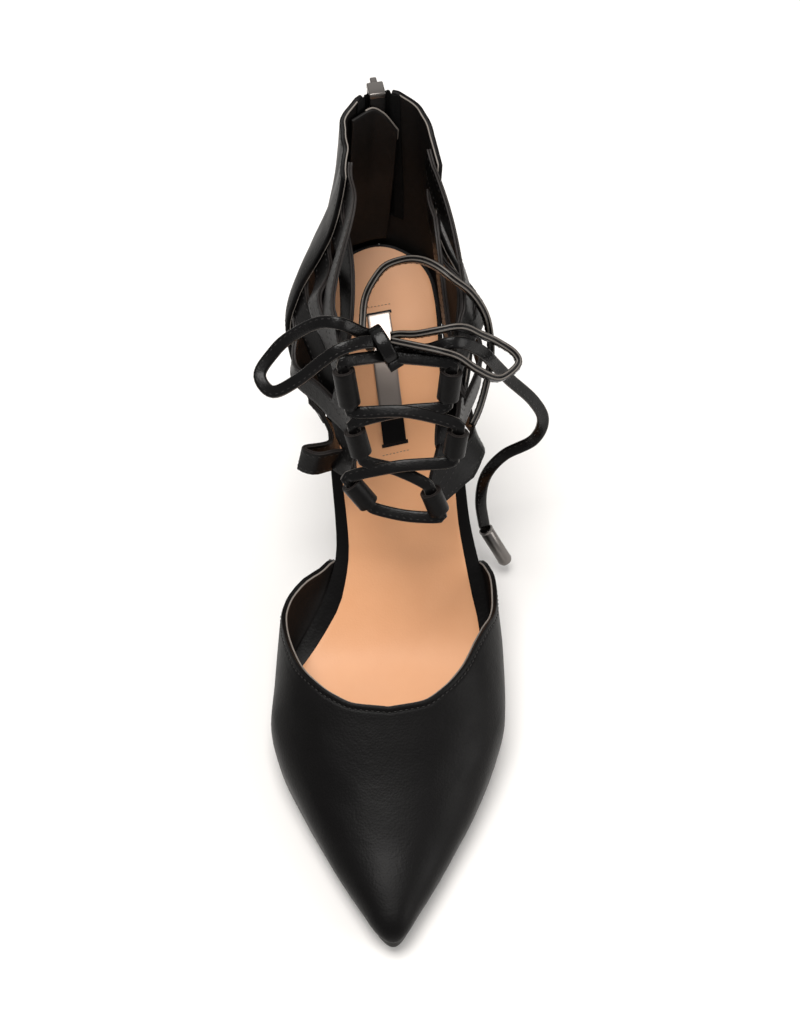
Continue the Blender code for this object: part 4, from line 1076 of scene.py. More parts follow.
@dataclass
class Zip:
    """Zip in the quarter's slot: woven tapes, coil, slider and pull tab."""

    form: QuarterForm
    foot: float = 0.194
    tape_edges: tuple[float, float] = (0.35, 9.0)
    tape_thick: float = 0.3
    tape_top: float = 164.8
    tape_uneven: float = 0.4
    tape_wave: float = 1.5
    tape_step: float = 1.05
    tape_bend: tuple[float, float] = (4.4, 1.4)
    coil_foot: float = 0.2
    coil_top: float = 157.0
    coil_pitch: float = 1.25
    coil_reach: float = 0.75
    coil_sink: float = 0.45
    tooth: tuple[float, float, float] = (1.25, 0.5, 0.75)
    slider_height: float = 159.4
    middle: float = 0.85
    hinge: tuple[float, float, float] = (0.0, 3.8, -0.4)
    pull_sides: tuple[float, ...] = (-2.6, -1.3, 1.3, 2.6)
    pull_thick: float = 1.1
    eye_half: float = 1.5
    eye_row: float = -7.4

    def build(self) -> list[bpy.types.Object]:
        """Tape, coil, slider and pull."""
        return [self.tape(), self.coil(), self.slider(), self.pull()]

    def frame(self) -> Matrix:
        """Frame at the slider: side, outwards and up from the middle of the tape."""
        level = self.form.level_at(0.0, self.slider_height)
        centre = self.form.point(0.0, level, self.middle)
        out = self.form.skin(0.0, level) - centre
        return Matrix.Translation(centre) @ Matrix.Rotation(math.atan2(-out.x, out.y), 4, "Z")

    def tape(self) -> bpy.types.Object:
        """Two tapes that go in behind the quarter, cut unevenly above the collar."""
        sheets = []
        bend_start, bend_run = self.tape_bend
        for side in Side:

            def skin(away: float, rise: float) -> Vector:
                """Point on the tape at a distance from the middle."""
                ragged = self.tape_uneven * math.sin(away * self.tape_wave + side.value)
                top = self.form.level_at(0.0, self.tape_top + ragged)
                inward = self.middle + self.tape_step * ease((away - bend_start) / bend_run)
                return self.form.point(side.value * away, self.foot + (top - self.foot) * rise, inward)

            sheet = mapped_sheet(spread(*self.tape_edges, 22), spread(0.0, 1.0, 60), skin)
            tape = new_piece("tape", close(sheet, INSIDE_QUARTER), ZIP_TAPE)
            thicken(tape, self.tape_thick, -1.0)
            sheets.append(tape)
        return settle(bake("zip_tapes", *sheets), "zip_tape", "zip_chain")

    def coil(self) -> bpy.types.Object:
        """Interlocked teeth along the middle of the tapes."""
        places = []
        count = int((self.coil_top * MM - self.form.skin(0.0, self.foot).z) / (self.coil_pitch * MM))
        size = Matrix.Diagonal((*(Vector(self.tooth) * MM), 1.0))
        top = self.form.level_at(0.0, self.coil_top)
        for index, level in enumerate(spread(self.coil_foot, top, count)):
            reach = self.coil_reach if index % 2 else -self.coil_reach
            across = self.form.skin(reach + 1.0, level) - self.form.skin(reach - 1.0, level)
            spot = self.form.point(reach, level, self.coil_sink)
            places.append(frame_at(spot, across, self.form.normal(reach, level)) @ size)
        tooth = bmesh.new()
        bmesh.ops.create_uvsphere(tooth, u_segments=10, v_segments=6, radius=1.0)
        return settle(scatter("zip_coil", tooth, places, ZIP_COIL), "zip_tape")

    def slider(self) -> bpy.types.Object:
        """Slider with rounded plates and the arched crown that holds the pull."""
        blocks = []
        for half, inner, outer, low, high, black in SLIDER:
            shape = bmesh.new()
            bmesh.ops.create_cube(shape, size=1.0)
            for face in shape.faces:
                face.material_index = int(black)
            size = Vector((2.0 * half, outer - inner, high - low)) * MM
            middle = Vector((0.0, outer + inner, high + low)) / 2.0 * MM
            bmesh.ops.scale(shape, vec=size, verts=shape.verts)
            bmesh.ops.translate(shape, vec=middle, verts=shape.verts)
            bmesh.ops.transform(shape, matrix=self.frame(), verts=shape.verts)
            blocks.append(new_piece("block", shape, GUNMETAL, BLACK_METAL))
            soften(blocks[-1], 0.45, 3)
        return settle(bake("zip_slider_body", *blocks), "gunmetal", "zip_slider")

    def pull(self) -> bpy.types.Object:
        """Pull tab: a plate with an eye, hung from the crown."""
        turn = self.frame() @ Matrix.Translation(Vector(self.hinge) * MM)
        downs, factors = zip(*PULL)

        def skin(side: float, down: float) -> Vector:
            """Point on the plate's middle face."""
            return turn @ Vector((side * factors[downs.index(down)] * MM, 0.0, down * MM))

        sheet = mapped_sheet(self.pull_sides, downs, skin)
        side_layer, down_layer = (sheet.verts.layers.float[name] for name in ("column", "row"))
        eye = [face for face in sheet.faces
               if max(abs(vert[side_layer]) for vert in face.verts) < self.eye_half
               and math.isclose(min(vert[down_layer] for vert in face.verts), self.eye_row, abs_tol=0.01)]
        bmesh.ops.delete(sheet, geom=eye, context="FACES")
        plate = new_piece("pull", close(sheet), GUNMETAL)
        thicken(plate, self.pull_thick, 0.0)
        soften(plate, 0.3, 3)
        return settle(bake("zip_pull_tab", plate), "gunmetal", "zip_pull", body=Body.PULL)


# Rows round each rolled loop, which carry no stitches
ROLL_ROWS = 30


def leaning(rake: float, lean: float) -> Vector:
    """Direction upwards that leans back by a rake and sideways by a lean, in degrees."""
    back, aside = math.radians(rake), math.radians(lean)
    return Vector((math.sin(aside), math.cos(aside) * math.sin(back), math.cos(aside) * math.cos(back)))


@dataclass(frozen=True)
class StrapRow:
    """One line across a strap: its root, its direction, and where it starts and ends."""

    root: Vector
    across: Vector
    low: float
    high: float

    def at(self, share: float) -> Vector:
        """Point a share of the way across."""
        return self.root + self.across * (self.low + (self.high - self.low) * share) * MM


@dataclass(frozen=True)
class Loop:
    """Rolled lace loop at the end of a strap tab, and the crotch behind it."""

    tab: str
    side: Side
    reach: float
    station: float
    height: float
    crotch_reach: float
    crotch_station: float
    crotch_height: float
    lean: float
    half_length: float
    crotch_rake: float = 21.0
    crotch_lean: float = 0.0
    crotch_width: float = 8.4
    radius: float = 2.9
    wrap: float = math.radians(285.0)
    rake: float = 21.0
    turn: float = math.radians(42.0)
    square_from: float = 0.6

    @property
    def centre(self) -> Vector:
        """Middle of the roll."""
        return place(self.side.value * self.reach, self.station, self.height)

    @property
    def crotch(self) -> Vector:
        """Point where the two arms part."""
        return place(self.side.value * self.crotch_reach, self.crotch_station, self.crotch_height)

    @property
    def axis(self) -> Vector:
        """Direction of the roll, upwards."""
        return leaning(self.rake, self.lean)

    @property
    def upright(self) -> Vector:
        """Direction across the tab at the crotch."""
        return leaning(self.crotch_rake, self.crotch_lean)

    @property
    def ahead(self) -> Vector:
        """Direction in which the tab reaches the roll."""
        ahead = Vector((-self.side.value * math.sin(self.turn), -math.cos(self.turn), 0.0))
        return (ahead - self.axis * ahead.dot(self.axis)).normalized()

    @property
    def outward(self) -> Vector:
        """Direction away from the foot."""
        return (self.axis.cross(self.ahead) * -self.side.value).normalized()

    @property
    def entry(self) -> Vector:
        """Point where the tab meets the roll."""
        return self.centre + self.outward * self.radius * MM

    @property
    def leave(self) -> Vector:
        """Direction from the crotch to the roll."""
        return (self.entry - self.crotch).normalized()

    def mouth(self, end: float, clear: float) -> Vector:
        """Point on the roll's axis, a distance outside one of its ends."""
        return self.centre + self.axis * end * (self.half_length + clear) * MM

    def body(self, half: float, flat_rows: int = 14, roll_rows: int = ROLL_ROWS) -> list[StrapRow]:
        """Rows of one half of the tab, from the crotch to the end of the roll.

        Args:
            half: 1 for the upper half, -1 for the lower one.
            flat_rows: rows up to the roll.
            roll_rows: rows round the roll.

        Returns:
            The rows, in order.
        """
        run = (self.entry - self.crotch).length
        path = hermite(self.crotch, self.leave * run, self.entry, self.ahead * run, flat_rows)
        rows = []
        for point, along, share in zip(path, tangents(path), spread(0.0, 1.0, flat_rows)):
            lean = self.upright.lerp(self.axis, ease(share))
            across = (lean - along * lean.dot(along) / along.length_squared).normalized()
            square = ease((share - self.square_from) / (1.0 - self.square_from))
            across = across.lerp(self.axis, square).normalized()
            width = self.crotch_width + (self.half_length - self.crotch_width) * share
            rows.append(StrapRow(point, across, *sorted((0.0, half * width))))
        for angle in spread(0.0, self.wrap, roll_rows)[1:]:
            away = self.outward * math.cos(angle) + self.ahead * math.sin(angle)
            rows.append(StrapRow(self.centre + away * self.radius * MM, self.axis,
                                 *sorted((0.0, half * self.half_length))))
        return rows


@dataclass(frozen=True)
class Arm:
    """One arm of a tab: where it is sewn to the quarter and how it runs to the crotch."""

    tab: str
    half: int
    level: float
    medial: float
    lateral: float
    leave: float
    arrive: float
    direct: float
    tuck: float = 8.0
    clear: float = 3.0
    depth: float = UPPER_WALL + GAP + 1.05
    fold_step: float = 1.5

    def rows(self, form: QuarterForm, loop: Loop, tuck_rows: int = 8, free_rows: int = 34) -> list[StrapRow]:
        """Rows from the sewn end to the crotch.

        Args:
            form: quarter that carries the arm.
            loop: loop that the arm ends in.
            tuck_rows: rows that lie along the quarter.
            free_rows: rows of the free stretch.

        Returns:
            The rows, in order.
        """
        sign = loop.side.value
        reach = form.front(self.level)
        half = loop.crotch_width / 2.0
        rows = []
        for tuck in spread(self.tuck, -self.clear, tuck_rows):
            spot = sign * (reach - tuck)
            low, high = (form.skin(spot, self.level + part) for part in (-form.level_step, form.level_step))
            step = half * MM / ((high - low).length / (2.0 * form.level_step))
            low, high = (form.point(spot, self.level + part, self.depth) for part in (-step, step))
            middle = form.point(spot, self.level, self.depth)
            rows.append(StrapRow(middle, (high - low).normalized(), -half, half))
        start, first = rows[-1].root, rows[-1].across
        ahead = (start - rows[-2].root).normalized()
        lean = math.radians(self.medial if loop.side is Side.MEDIAL else self.lateral)
        ahead = Matrix.Rotation(lean * sign, 3, first) @ ahead
        last = loop.body(1.0)[0].across
        end = loop.crotch + last * self.half * half * MM
        arrive = loop.leave.lerp((end - start).normalized(), self.direct).normalized()
        path = hermite(start, ahead * self.leave * MM, end, arrive * self.arrive * MM, free_rows)
        if (self.tab, self.half, loop.side) in FOLDS:
            bends = [place(*bend) for bend in FOLDS[self.tab, self.half, loop.side]]
            path = smooth_path([start, *bends, end], self.fold_step)
        shares = spread(0.0, 1.0, len(path))
        for point, along, share in list(zip(path, tangents(path), shares))[1:-1]:
            across = first.lerp(last, ease(share))
            across = (across - along * across.dot(along) / along.length_squared).normalized()
            rows.append(StrapRow(point, across, -half, half))
        return rows


# Loops, arms, and the bends of the two arms that fold over on themselves (side, station, height)
LOOPS = (
    Loop("top", Side.MEDIAL, 12.0, 146.5, 115.0, 18.4, 168.0, 123.2, -8.0, 6.2),
    Loop("top", Side.LATERAL, 21.0, 145.6, 116.4, 28.6, 166.0, 124.0, 6.0, 5.0),
    Loop("middle", Side.MEDIAL, 8.7, 138.4, 96.4, 16.4, 156.0, 96.4, -13.0, 4.4),
    Loop("middle", Side.LATERAL, 23.3, 136.8, 97.2, 26.0, 153.0, 95.4, 8.0, 4.2),
    Loop("low", Side.MEDIAL, 8.4, 131.4, 77.2, 13.5, 149.0, 78.0, -35.0, 4.9, 50.0, 0.0, 9.4),
    Loop("low", Side.LATERAL, 16.5, 128.4, 76.2, 24.4, 145.0, 76.8, -20.0, 4.2, 45.0, -12.0, 9.4),
)
ARMS = (
    Arm("top", 1, 0.94, 0.0, 0.0, 30.0, 30.0, 0.4),
    Arm("top", -1, 0.65, 14.0, 10.0, 34.0, 40.0, 0.0),
    Arm("middle", 1, 0.78, -8.0, -8.0, 40.0, 40.0, 1.6),
    Arm("middle", -1, 0.365, 24.0, 12.0, 46.0, 52.0, 0.0),
    Arm("low", 1, 0.49, -19.0, -10.0, 44.0, 40.0, 1.6),
    Arm("low", -1, 0.1, 0.0, 0.0, 46.0, 56.0, 0.0),
)
FOLDS = {
    ("low", -1, Side.MEDIAL): ((-18.8, 166.0, 70.0), (-17.6, 154.6, 71.0), (-28.0, 150.5, 72.6),
                               (-23.5, 146.9, 73.4)),
    ("low", -1, Side.LATERAL): ((28.0, 168.0, 76.0), (31.6, 154.0, 76.2), (29.8, 148.4, 75.2)),
}


@dataclass
class Cage:
    """Six folded strap tabs, each of two layers with pale cut edges."""

    form: QuarterForm
    layer: float = 0.68
    parting: float = 0.14
    columns: int = 7
    stitch_inset: float = 1.3
    stitch_sink: float = 0.06

    def build(self) -> list[bpy.types.Object]:
        """All the tabs, with their stitches."""
        made = []
        places: list[Matrix] = []
        seam = Seam(length=1.2, pitch=2.1, width=0.4, height=0.36)
        for loop in LOOPS:
            halves = [arm.rows(self.form, loop) + loop.body(float(arm.half))
                      for arm in ARMS if arm.tab == loop.tab]
            made.append(self.tab(loop, halves))
            for rows in halves:
                places += self.seams(seam, rows)
        made.append(settle(seam.piece("strap_stitches", places), "strap_calf"))
        return made

    def tab(self, loop: Loop, halves: Sequence[Sequence[StrapRow]]) -> bpy.types.Object:
        """One tab of two layers.

        Args:
            loop: loop of the tab.
            halves: rows of its upper and lower arm.

        Returns:
            The tab.
        """
        name = f"tab_{loop.tab}_{loop.side.label}"
        layers = []
        for sign in (-1.0, 1.0):
            both = bmesh.new()
            for rows in halves:
                sheet = mapped_sheet(spread(0.0, 1.0, self.columns), range(len(rows)),
                                     lambda share, row: rows[row].at(share))
                mesh = bpy.data.meshes.new(name)
                sheet.to_mesh(mesh)
                sheet.free()
                both.from_mesh(mesh)
                bpy.data.meshes.remove(mesh)
            close(both)
            piece = new_piece(name + "_layer", both, STRAP_CALF, DARK_EDGE)
            thicken(piece, self.layer, sign * (1.0 + self.parting / self.layer), rim=1)
            soften(piece, 0.16, 2, SHARP_ANGLE)
            layers.append(piece)
        return settle(bake(name + "_strap", *layers), "strap_calf", name)

    def seams(self, seam: Seam, rows: Sequence[StrapRow]) -> list[Matrix]:
        """Stitches along both edges of an arm, on both faces, up to its roll."""
        found = []
        lift = self.parting / 2.0 + self.layer - self.stitch_sink
        stretch = list(zip(rows, tangents([row.root for row in rows])))[1:-ROLL_ROWS]
        for edge in (0.0, 1.0):
            for face in (-1.0, 1.0):
                path = []
                for row, along in stretch:
                    inset = self.stitch_inset / (row.high - row.low)
                    normal = along.cross(row.across).normalized() * face
                    path.append((row.at(abs(edge - inset)) + normal * lift * MM, normal))
                found += seam.places(path)
        return found


def sole_inset(station: float) -> float:
    """Distance of the outsole's edge inside the outline, more at the waist, where the sole is pared."""
    edge, waist_start, slope, most = 0.6, 125.0, 0.15, 2.4
    return edge + min(most, max(station - waist_start, 0.0) * slope)


@dataclass
class Bottom:
    """Insole board, sock with its metal strip, and outsole."""

    last: Last
    board_thick: float = 2.7
    sock_thick: float = 1.0
    sock_inset: float = UPPER_WALL + GAP + 0.3
    sole_thick: float = 2.7
    sole_end: float = 186.0
    strip_start: tuple[float, float] = (4.2, 168.5)
    strip_run: tuple[float, float] = (-5.0, 35.0)
    strip_skew: float = 0.15
    strip_half: float = 4.0
    strip_bow: float = 1.3
    strip_thick: float = 0.7
    strip_black: float = 0.19
    slit_shade_wider: float = 0.6
    slit_shade_lift: float = 0.06
    slit_shade_thick: float = 0.08
    slit_shade_shares: tuple[float, float] = (0.022, -0.006)
    tack_wider: float = 1.0
    tack_share: float = 0.075
    rows: int = 110
    columns: int = 25

    def layer(self, name: str, finish: Finish, final: float, inset: Callable[[float], float], base: float,
              thick: float, edge: float, segments: int = 3) -> bpy.types.Object:
        """Layer along the last's bottom, from the toe.

        Args:
            name: name of the piece.
            finish: finish of the piece.
            final: station of its back end.
            inset: distance inside the outline at a station.
            base: height of its underside off the bottom.
            thick: thickness.
            edge: width of its rounded edges.
            segments: steps of the rounding.

        Returns:
            The piece.
        """
        stations = [station_at(key) for key in spread(rounded(0.0), rounded(final), self.rows)]
        edges = {station: tuple(self.last.inset(side, station, inset(station)) for side in Side)
                 for station in stations}

        def skin(share: float, station: float) -> Vector:
            """Point a share of the way across, medial to lateral."""
            medial, lateral = edges[station]
            side = medial[0] + (lateral[0] - medial[0]) * share
            along = medial[1] + (lateral[1] - medial[1]) * share
            return self.last.bottom(side, along, base)

        sheet = mapped_sheet(spread(0.0, 1.0, self.columns), stations, skin)
        piece = new_piece(name, close(sheet, UNDER_SOLE), finish)
        thicken(piece, thick, 1.0)
        soften(piece, edge, segments)
        return bake(name, piece)

    def build(self) -> list[bpy.types.Object]:
        """Board, sock, outsole, and the strip with its stitches and the painted shade of its slits."""
        board = self.layer("insole_board_wrap", BLACK_CALF, LENGTH,
                           lambda station: BOARD.read("inset", station), 0.0, self.board_thick, 0.8)
        settle(board, "board_wrap", "insole_board")
        sock = self.layer("sock", NUDE_KID, LENGTH,
                          lambda station: self.sock_inset + RIM.read("inset", station),
                          self.board_thick + LAYER_GAP, self.sock_thick, 0.3, 2)
        settle(sock, "sock_kid", "insole_sock")
        sole = self.layer("outsole_leather", SOLE_LEATHER, self.sole_end, sole_inset,
                          -LAYER_GAP - self.sole_thick, self.sole_thick, 0.5)
        settle(sole, "sole_leather", "outsole")
        return [board, sock, sole, self.strip(), *self.tacks()]

    def spot(self, side: float, share: float, lift: float) -> Vector:
        """Point over the sock along the strip's line; a share outside 0 to 1 lies past its ends."""
        (start_side, start), (aside, run) = self.strip_start, self.strip_run
        sock_top = self.board_thick + LAYER_GAP + self.sock_thick
        station = start + run * share + side * self.strip_skew
        return self.last.bottom(start_side + aside * share + side, station, sock_top + lift)

    def strip(self) -> bpy.types.Object:
        """Plain metal strip with a black front end, bowed up between the slits."""

        def skin(side: float, share: float) -> Vector:
            """Point of the strip's underside."""
            return self.spot(side, share, LAYER_GAP + self.strip_bow * math.sin(math.pi * share))

        sheet = mapped_sheet(spread(-self.strip_half, self.strip_half, 9), spread(0.0, 1.0, 41), skin)
        row_layer = close(sheet, UNDER_SOLE).verts.layers.float["row"]
        for face in sheet.faces:
            face.material_index = int(min(vert[row_layer] for vert in face.verts) < self.strip_black)
        strip = new_piece("strip", sheet, BRIGHT_STEEL, STRAP_CALF)
        thicken(strip, self.strip_thick, 1.0)
        soften(strip, 0.2, 2)
        return settle(bake("insole_metal_strip", strip), "gunmetal", "insole_plate")

    def tacks(self) -> list[bpy.types.Object]:
        """Painted shade of the sock's slits at both ends of the strip, as thin dark sheets, and a row of
        tack stitches past each.
        """
        slit_shades = []
        places: list[Matrix] = []
        seam = Seam(length=0.9, pitch=1.25, width=0.4, height=0.3)
        wide, row_wide = self.strip_half + self.slit_shade_wider, self.strip_half + self.tack_wider
        for end, outwards in ((0.0, -1.0), (1.0, 1.0)):
            shares = [end + outwards * share for share in self.slit_shade_shares]
            sheet = mapped_sheet(spread(-wide, wide, 7), shares,
                                 lambda side, share: self.spot(side, share, self.slit_shade_lift))
            # Painted shade: a thin dark sheet over the sock stands for the shade inside the slit
            slit_shades.append(new_piece("slit", close(sheet, UNDER_SOLE), LINING))
            thicken(slit_shades[-1], self.slit_shade_thick, 1.0)
            normal = self.spot(0.0, end, 1.0) - self.spot(0.0, end, 0.0)
            places += seam.places([(self.spot(side, end + outwards * self.tack_share, 0.0), normal)
                                   for side in spread(-row_wide, row_wide, 12)])
        return [settle(bake("sock_slit_shades", *slit_shades), "sock_kid"),
                settle(seam.piece("sock_tack_stitches", places, SOCK_THREAD), "sock_kid")]


@dataclass
class Heel:
    """Covered stiletto heel and its top piece."""

    last: Last
    lift: float = 5.0
    seat_gap: float = 0.08
    middle: float = -0.2
    squareness: float = 1.4
    segments: int = 64
    rows: int = 60

    def build(self) -> list[bpy.types.Object]:
        """Heel and top piece."""
        around = spread(0.0, 2.0 * math.pi, self.segments + 1)
        shape = mapped_sheet(around, spread(0.0, 1.0, self.rows), self.skin)
        cover = new_piece("heel_cover", cap(shape), HEEL_COVER)
        soften(cover, 0.15, 2, SHARP_ANGLE)
        cover = settle(bake("heel_cover", cover), "heel_cover", "heel")
        front, back, half = (HEEL.read(name, 1.0) for name in ("front", "back", "half"))
        block = bmesh.new()
        bmesh.ops.create_cone(block, cap_ends=True, segments=self.segments, radius1=1.0, radius2=1.0,
                              depth=1.0)
        bmesh.ops.scale(block, vec=(half * MM, (back - front) / 2.0 * MM, self.lift * MM), verts=block.verts)
        centre = place(self.middle, (front + back) / 2.0, self.lift / 2.0)
        bmesh.ops.translate(block, vec=centre, verts=block.verts)
        tip = new_piece("tip", block, TOP_PIECE)
        soften(tip, 0.35, 3)
        tip = settle(bake("heel_top_piece", tip), "top_piece", "heel_tip")
        return [cover, tip]

    def skin(self, angle: float, down: float) -> Vector:
        """Point on the heel, square in front at the seat and round at the tip."""
        front, back, half = (HEEL.read(name, down) for name in ("front", "back", "half"))
        along, aside = math.cos(angle), math.sin(angle)
        power = 2.0 / (2.0 + (self.squareness * (1.0 - down) ** 2 if along < 0.0 else 0.0))
        station = (front + back) / 2.0 + (back - front) / 2.0 * math.copysign(abs(along) ** power, along)
        side = half * math.copysign(abs(aside) ** power, aside) + self.middle
        seat = self.last.bottom(side, station, -self.seat_gap)
        return seat.lerp(place(side, station, self.lift + GAP), down)


# Free lace routes by side, station and height, as the solids run

BOW_MEDIAL = (
    (-3.0, 160.0, 124.0), (-6.5, 160.0, 125.4), (-13.5, 159.2, 131.2), (-21.0, 161.4, 129.0),
    (-30.4, 162.6, 120.5), (-35.7, 160.6, 115.5), (-40.2, 155.2, 111.0), (-36.0, 149.0, 110.0),
    (-27.7, 149.2, 115.5), (-19.5, 150.8, 123.0), (-14.0, 152.4, 126.6), (-7.5, 154.8, 126.8),
    (-3.0, 156.2, 125.8))
BOW_LATERAL = (
    (3.0, 160.0, 124.0), (6.0, 159.5, 125.2), (11.0, 157.4, 127.6), (18.0, 156.6, 130.4),
    (24.5, 157.6, 130.6), (30.5, 159.4, 125.0), (37.0, 161.6, 118.0), (42.8, 160.0, 114.0),
    (43.6, 156.4, 112.0), (36.8, 151.0, 112.5), (29.0, 149.0, 120.5), (23.0, 149.0, 126.6),
    (17.5, 149.4, 128.8), (9.5, 152.8, 127.6), (3.0, 156.2, 125.8))
END_MEDIAL = (
    (-3.2, 158.6, 119.8), (-5.2, 159.8, 119.6), (-6.4, 164.4, 120.4), (-6.4, 168.8, 122.4),
    (-5.6, 173.7, 126.0), (-3.2, 177.1, 130.0), (1.3, 180.6, 134.0), (7.7, 180.1, 137.5),
    (12.9, 176.9, 140.5), (17.9, 171.4, 143.0), (22.4, 167.5, 142.0), (27.6, 166.2, 137.5),
    (32.6, 166.0, 127.5), (35.0, 165.2, 116.0), (35.4, 162.6, 107.0), (33.8, 157.0, 100.5),
    (31.4, 150.4, 96.6), (28.9, 145.5, 94.8))
END_LATERAL = (
    (3.0, 158.6, 119.9), (6.0, 158.0, 120.1), (10.0, 155.8, 121.6), (15.0, 153.6, 124.6),
    (20.0, 153.0, 127.8), (25.0, 153.8, 127.2), (31.5, 156.6, 119.5), (37.0, 159.0, 109.0),
    (42.1, 160.2, 100.0), (50.7, 161.5, 87.0), (54.8, 161.6, 76.0), (52.0, 160.5, 66.0),
    (42.4, 160.2, 58.0), (36.4, 158.5, 48.5), (34.9, 156.5, 36.0), (36.6, 154.6, 22.4))
AGLET_START = (37.1, 154.1, 21.0)
AGLET_TIP = (45.2, 149.3, 6.2)

# Metal tube: radius and distance from its start, then radius and distance before its tip
AGLET_FOOT = (
    (1.6, 3.0), (2.2, 0.0), (2.65, 0.25), (2.65, 0.8), (2.4, 1.05), (2.4, 1.3), (2.55, 1.6), (2.55, 12.0))
AGLET_HEAD = ((2.6, 2.4), (2.65, 1.2), (2.2, 0.2), (0.0, 0.0))


@dataclass
class Lace:
    """One flat lace of two layers: through the loops, into a knot, a bow and two ends."""

    half_width: float = 2.05
    half_thick: float = 1.15
    groove: float = 0.35
    cut_faces: tuple[int, ...] = (2, 10, 15, 23)
    stitch_across: float = -0.45
    stitch_sink: float = 0.04
    spacing: float = 1.1
    smoothing: int = 30
    clear: float = 0.5
    run_out: float = 2.4
    bridge_lead: float = 0.05
    neck_lead: float = 0.08
    front: tuple[float, float, float] = (0.0, -0.54, 0.84)
    knot_foot: tuple[float, float, float] = (0.0, 154.6, 120.4)
    knot_centre: tuple[float, float, float] = (0.0, 157.0, 123.0)
    knot_long: tuple[float, float, float] = (-2.8, 4.0712, 2.6376)
    knot_deep: tuple[float, float, float] = (0.0, -2.176, 3.356)
    knot_turn: tuple[float, float] = (-165.0, 172.0)
    knot_tip: tuple[float, ...] = (0.2, 0.4, 0.6)
    knot_tip_drop: float = 0.1
    knot_wider: float = 1.15
    aglet_segments: int = 32

    def section(self) -> list[tuple[float, float]]:
        """Points round the flat section, with a groove between the layers at both edges."""
        wide, thick = self.half_width, self.half_thick
        quarter = [(wide - self.groove, 0.0), (wide - 0.1, 0.16), (wide, 0.4), (wide - 0.1, 0.75 * thick),
                   (wide - 0.4, 0.95 * thick), (wide - 0.9, thick), (wide * 0.3, thick + 0.04)]
        right = quarter + [(-across, up) for across, up in reversed(quarter)]
        return right + [(-across, -up) for across, up in right[1:-1]]

    def normals(self, path: Sequence[Vector], lay: Lay) -> list[Vector]:
        """Face normals along a path, turned as little as its lay allows.

        Args:
            path: points of the lace.
            lay: whether its face or its edge meets the front.

        Returns:
            One unit normal for each point.
        """
        front = Vector(self.front)
        found: list[Vector] = []
        for tangent in tangents(path):
            along = tangent.normalized()
            flat = front - along * front.dot(along)
            normal = flat if lay is Lay.FACE else along.cross(flat)
            if found and normal.dot(found[-1]) < 0.0:
                normal = -normal
            found.append(normal)
        for _ in range(self.smoothing):
            padded = [found[0], *found, found[-1]]
            found = [(before + 2.0 * here + after) / 4.0
                     for before, here, after in zip(padded, padded[1:], padded[2:])]
        return [normal.normalized() for normal in found]

    def band(self, name: str, path: Sequence[Vector], lay: Lay) -> tuple[bpy.types.Object, list[Matrix]]:
        """Flat lace along a path, with the places of its stitches.

        Args:
            name: name of the piece.
            path: points that the lace follows.
            lay: how it meets the front.

        Returns:
            The piece and its stitch places.
        """
        frames = [frame_at(point, along, normal)
                  for point, along, normal in zip(path, tangents(path), self.normals(path, lay))]
        shape = swept(frames, self.section())
        column_layer = shape.verts.layers.float["column"]
        for face in shape.faces:
            face.material_index = int(int(min(vert[column_layer] for vert in face.verts)) in self.cut_faces)
        piece = new_piece(name, cap(shape), LACE_CALF, LACE_EDGE)
        seam = Seam(length=1.3, pitch=2.3, width=0.4, height=0.34)
        places: list[Matrix] = []
        across, up = self.stitch_across * self.half_width, self.half_thick - self.stitch_sink
        for face in (1.0, -1.0):
            places += seam.places([(frame @ Vector((0.0, across * MM, face * up * MM)),
                                    frame.to_3x3().col[2] * face) for frame in frames])
        return piece, places

    def bridge(self, first: Loop, first_end: float, second: Loop, second_end: float,
               bow: tuple[float, float, float]) -> list[Vector]:
        """Route between the mouths of two loops.

        Args:
            first: loop that the route leaves.
            first_end: its end, 1 for the upper one and -1 for the lower one.
            second: loop that the route enters.
            second_end: its end.
            bow: move of the route's middle.

        Returns:
            Five points.
        """
        far = self.clear + self.run_out
        start, end = first.mouth(first_end, self.clear), second.mouth(second_end, self.clear)
        start_next = first.mouth(first_end, far) + (end - start) * self.bridge_lead
        end_before = second.mouth(second_end, far) + (start - end) * self.bridge_lead
        middle = (start_next + end_before) / 2.0 + Vector(bow) * MM
        return [start, start_next, middle, end_before, end]

    def cage_route(self) -> list[Vector]:
        """Whole route from neck to neck through the six loops."""
        loops = {(loop.tab, loop.side): loop for loop in LOOPS}
        medial, lateral = Side.MEDIAL, Side.LATERAL
        low_over, high_over, under = (0.0, -0.9, 2.9), (0.0, -0.1, 3.3), (0.0, 1.2, 0.0)
        sag = (0.0, -0.6, -0.8)
        strand_medial = [
            self.bridge(loops["low", medial], 1, loops["middle", lateral], -1, low_over),
            self.bridge(loops["middle", lateral], 1, loops["top", medial], -1, high_over),
            self.neck(loops["top", medial])]
        strand_lateral = [
            self.bridge(loops["low", lateral], 1, loops["middle", medial], -1, under),
            self.bridge(loops["middle", medial], 1, loops["top", lateral], -1, under),
            self.neck(loops["top", lateral])]
        bar = self.bridge(loops["low", medial], -1, loops["low", lateral], -1, sag)
        first = [point for run in strand_medial for point in run]
        second = [point for run in strand_lateral for point in run]
        return first[::-1] + bar + second

    def neck(self, loop: Loop) -> list[Vector]:
        """Route from a top loop into the knot."""
        foot = place(*self.knot_foot)
        start = loop.mouth(1.0, self.clear)
        return [start, loop.mouth(1.0, self.clear + self.run_out) + (foot - start) * self.neck_lead, foot]

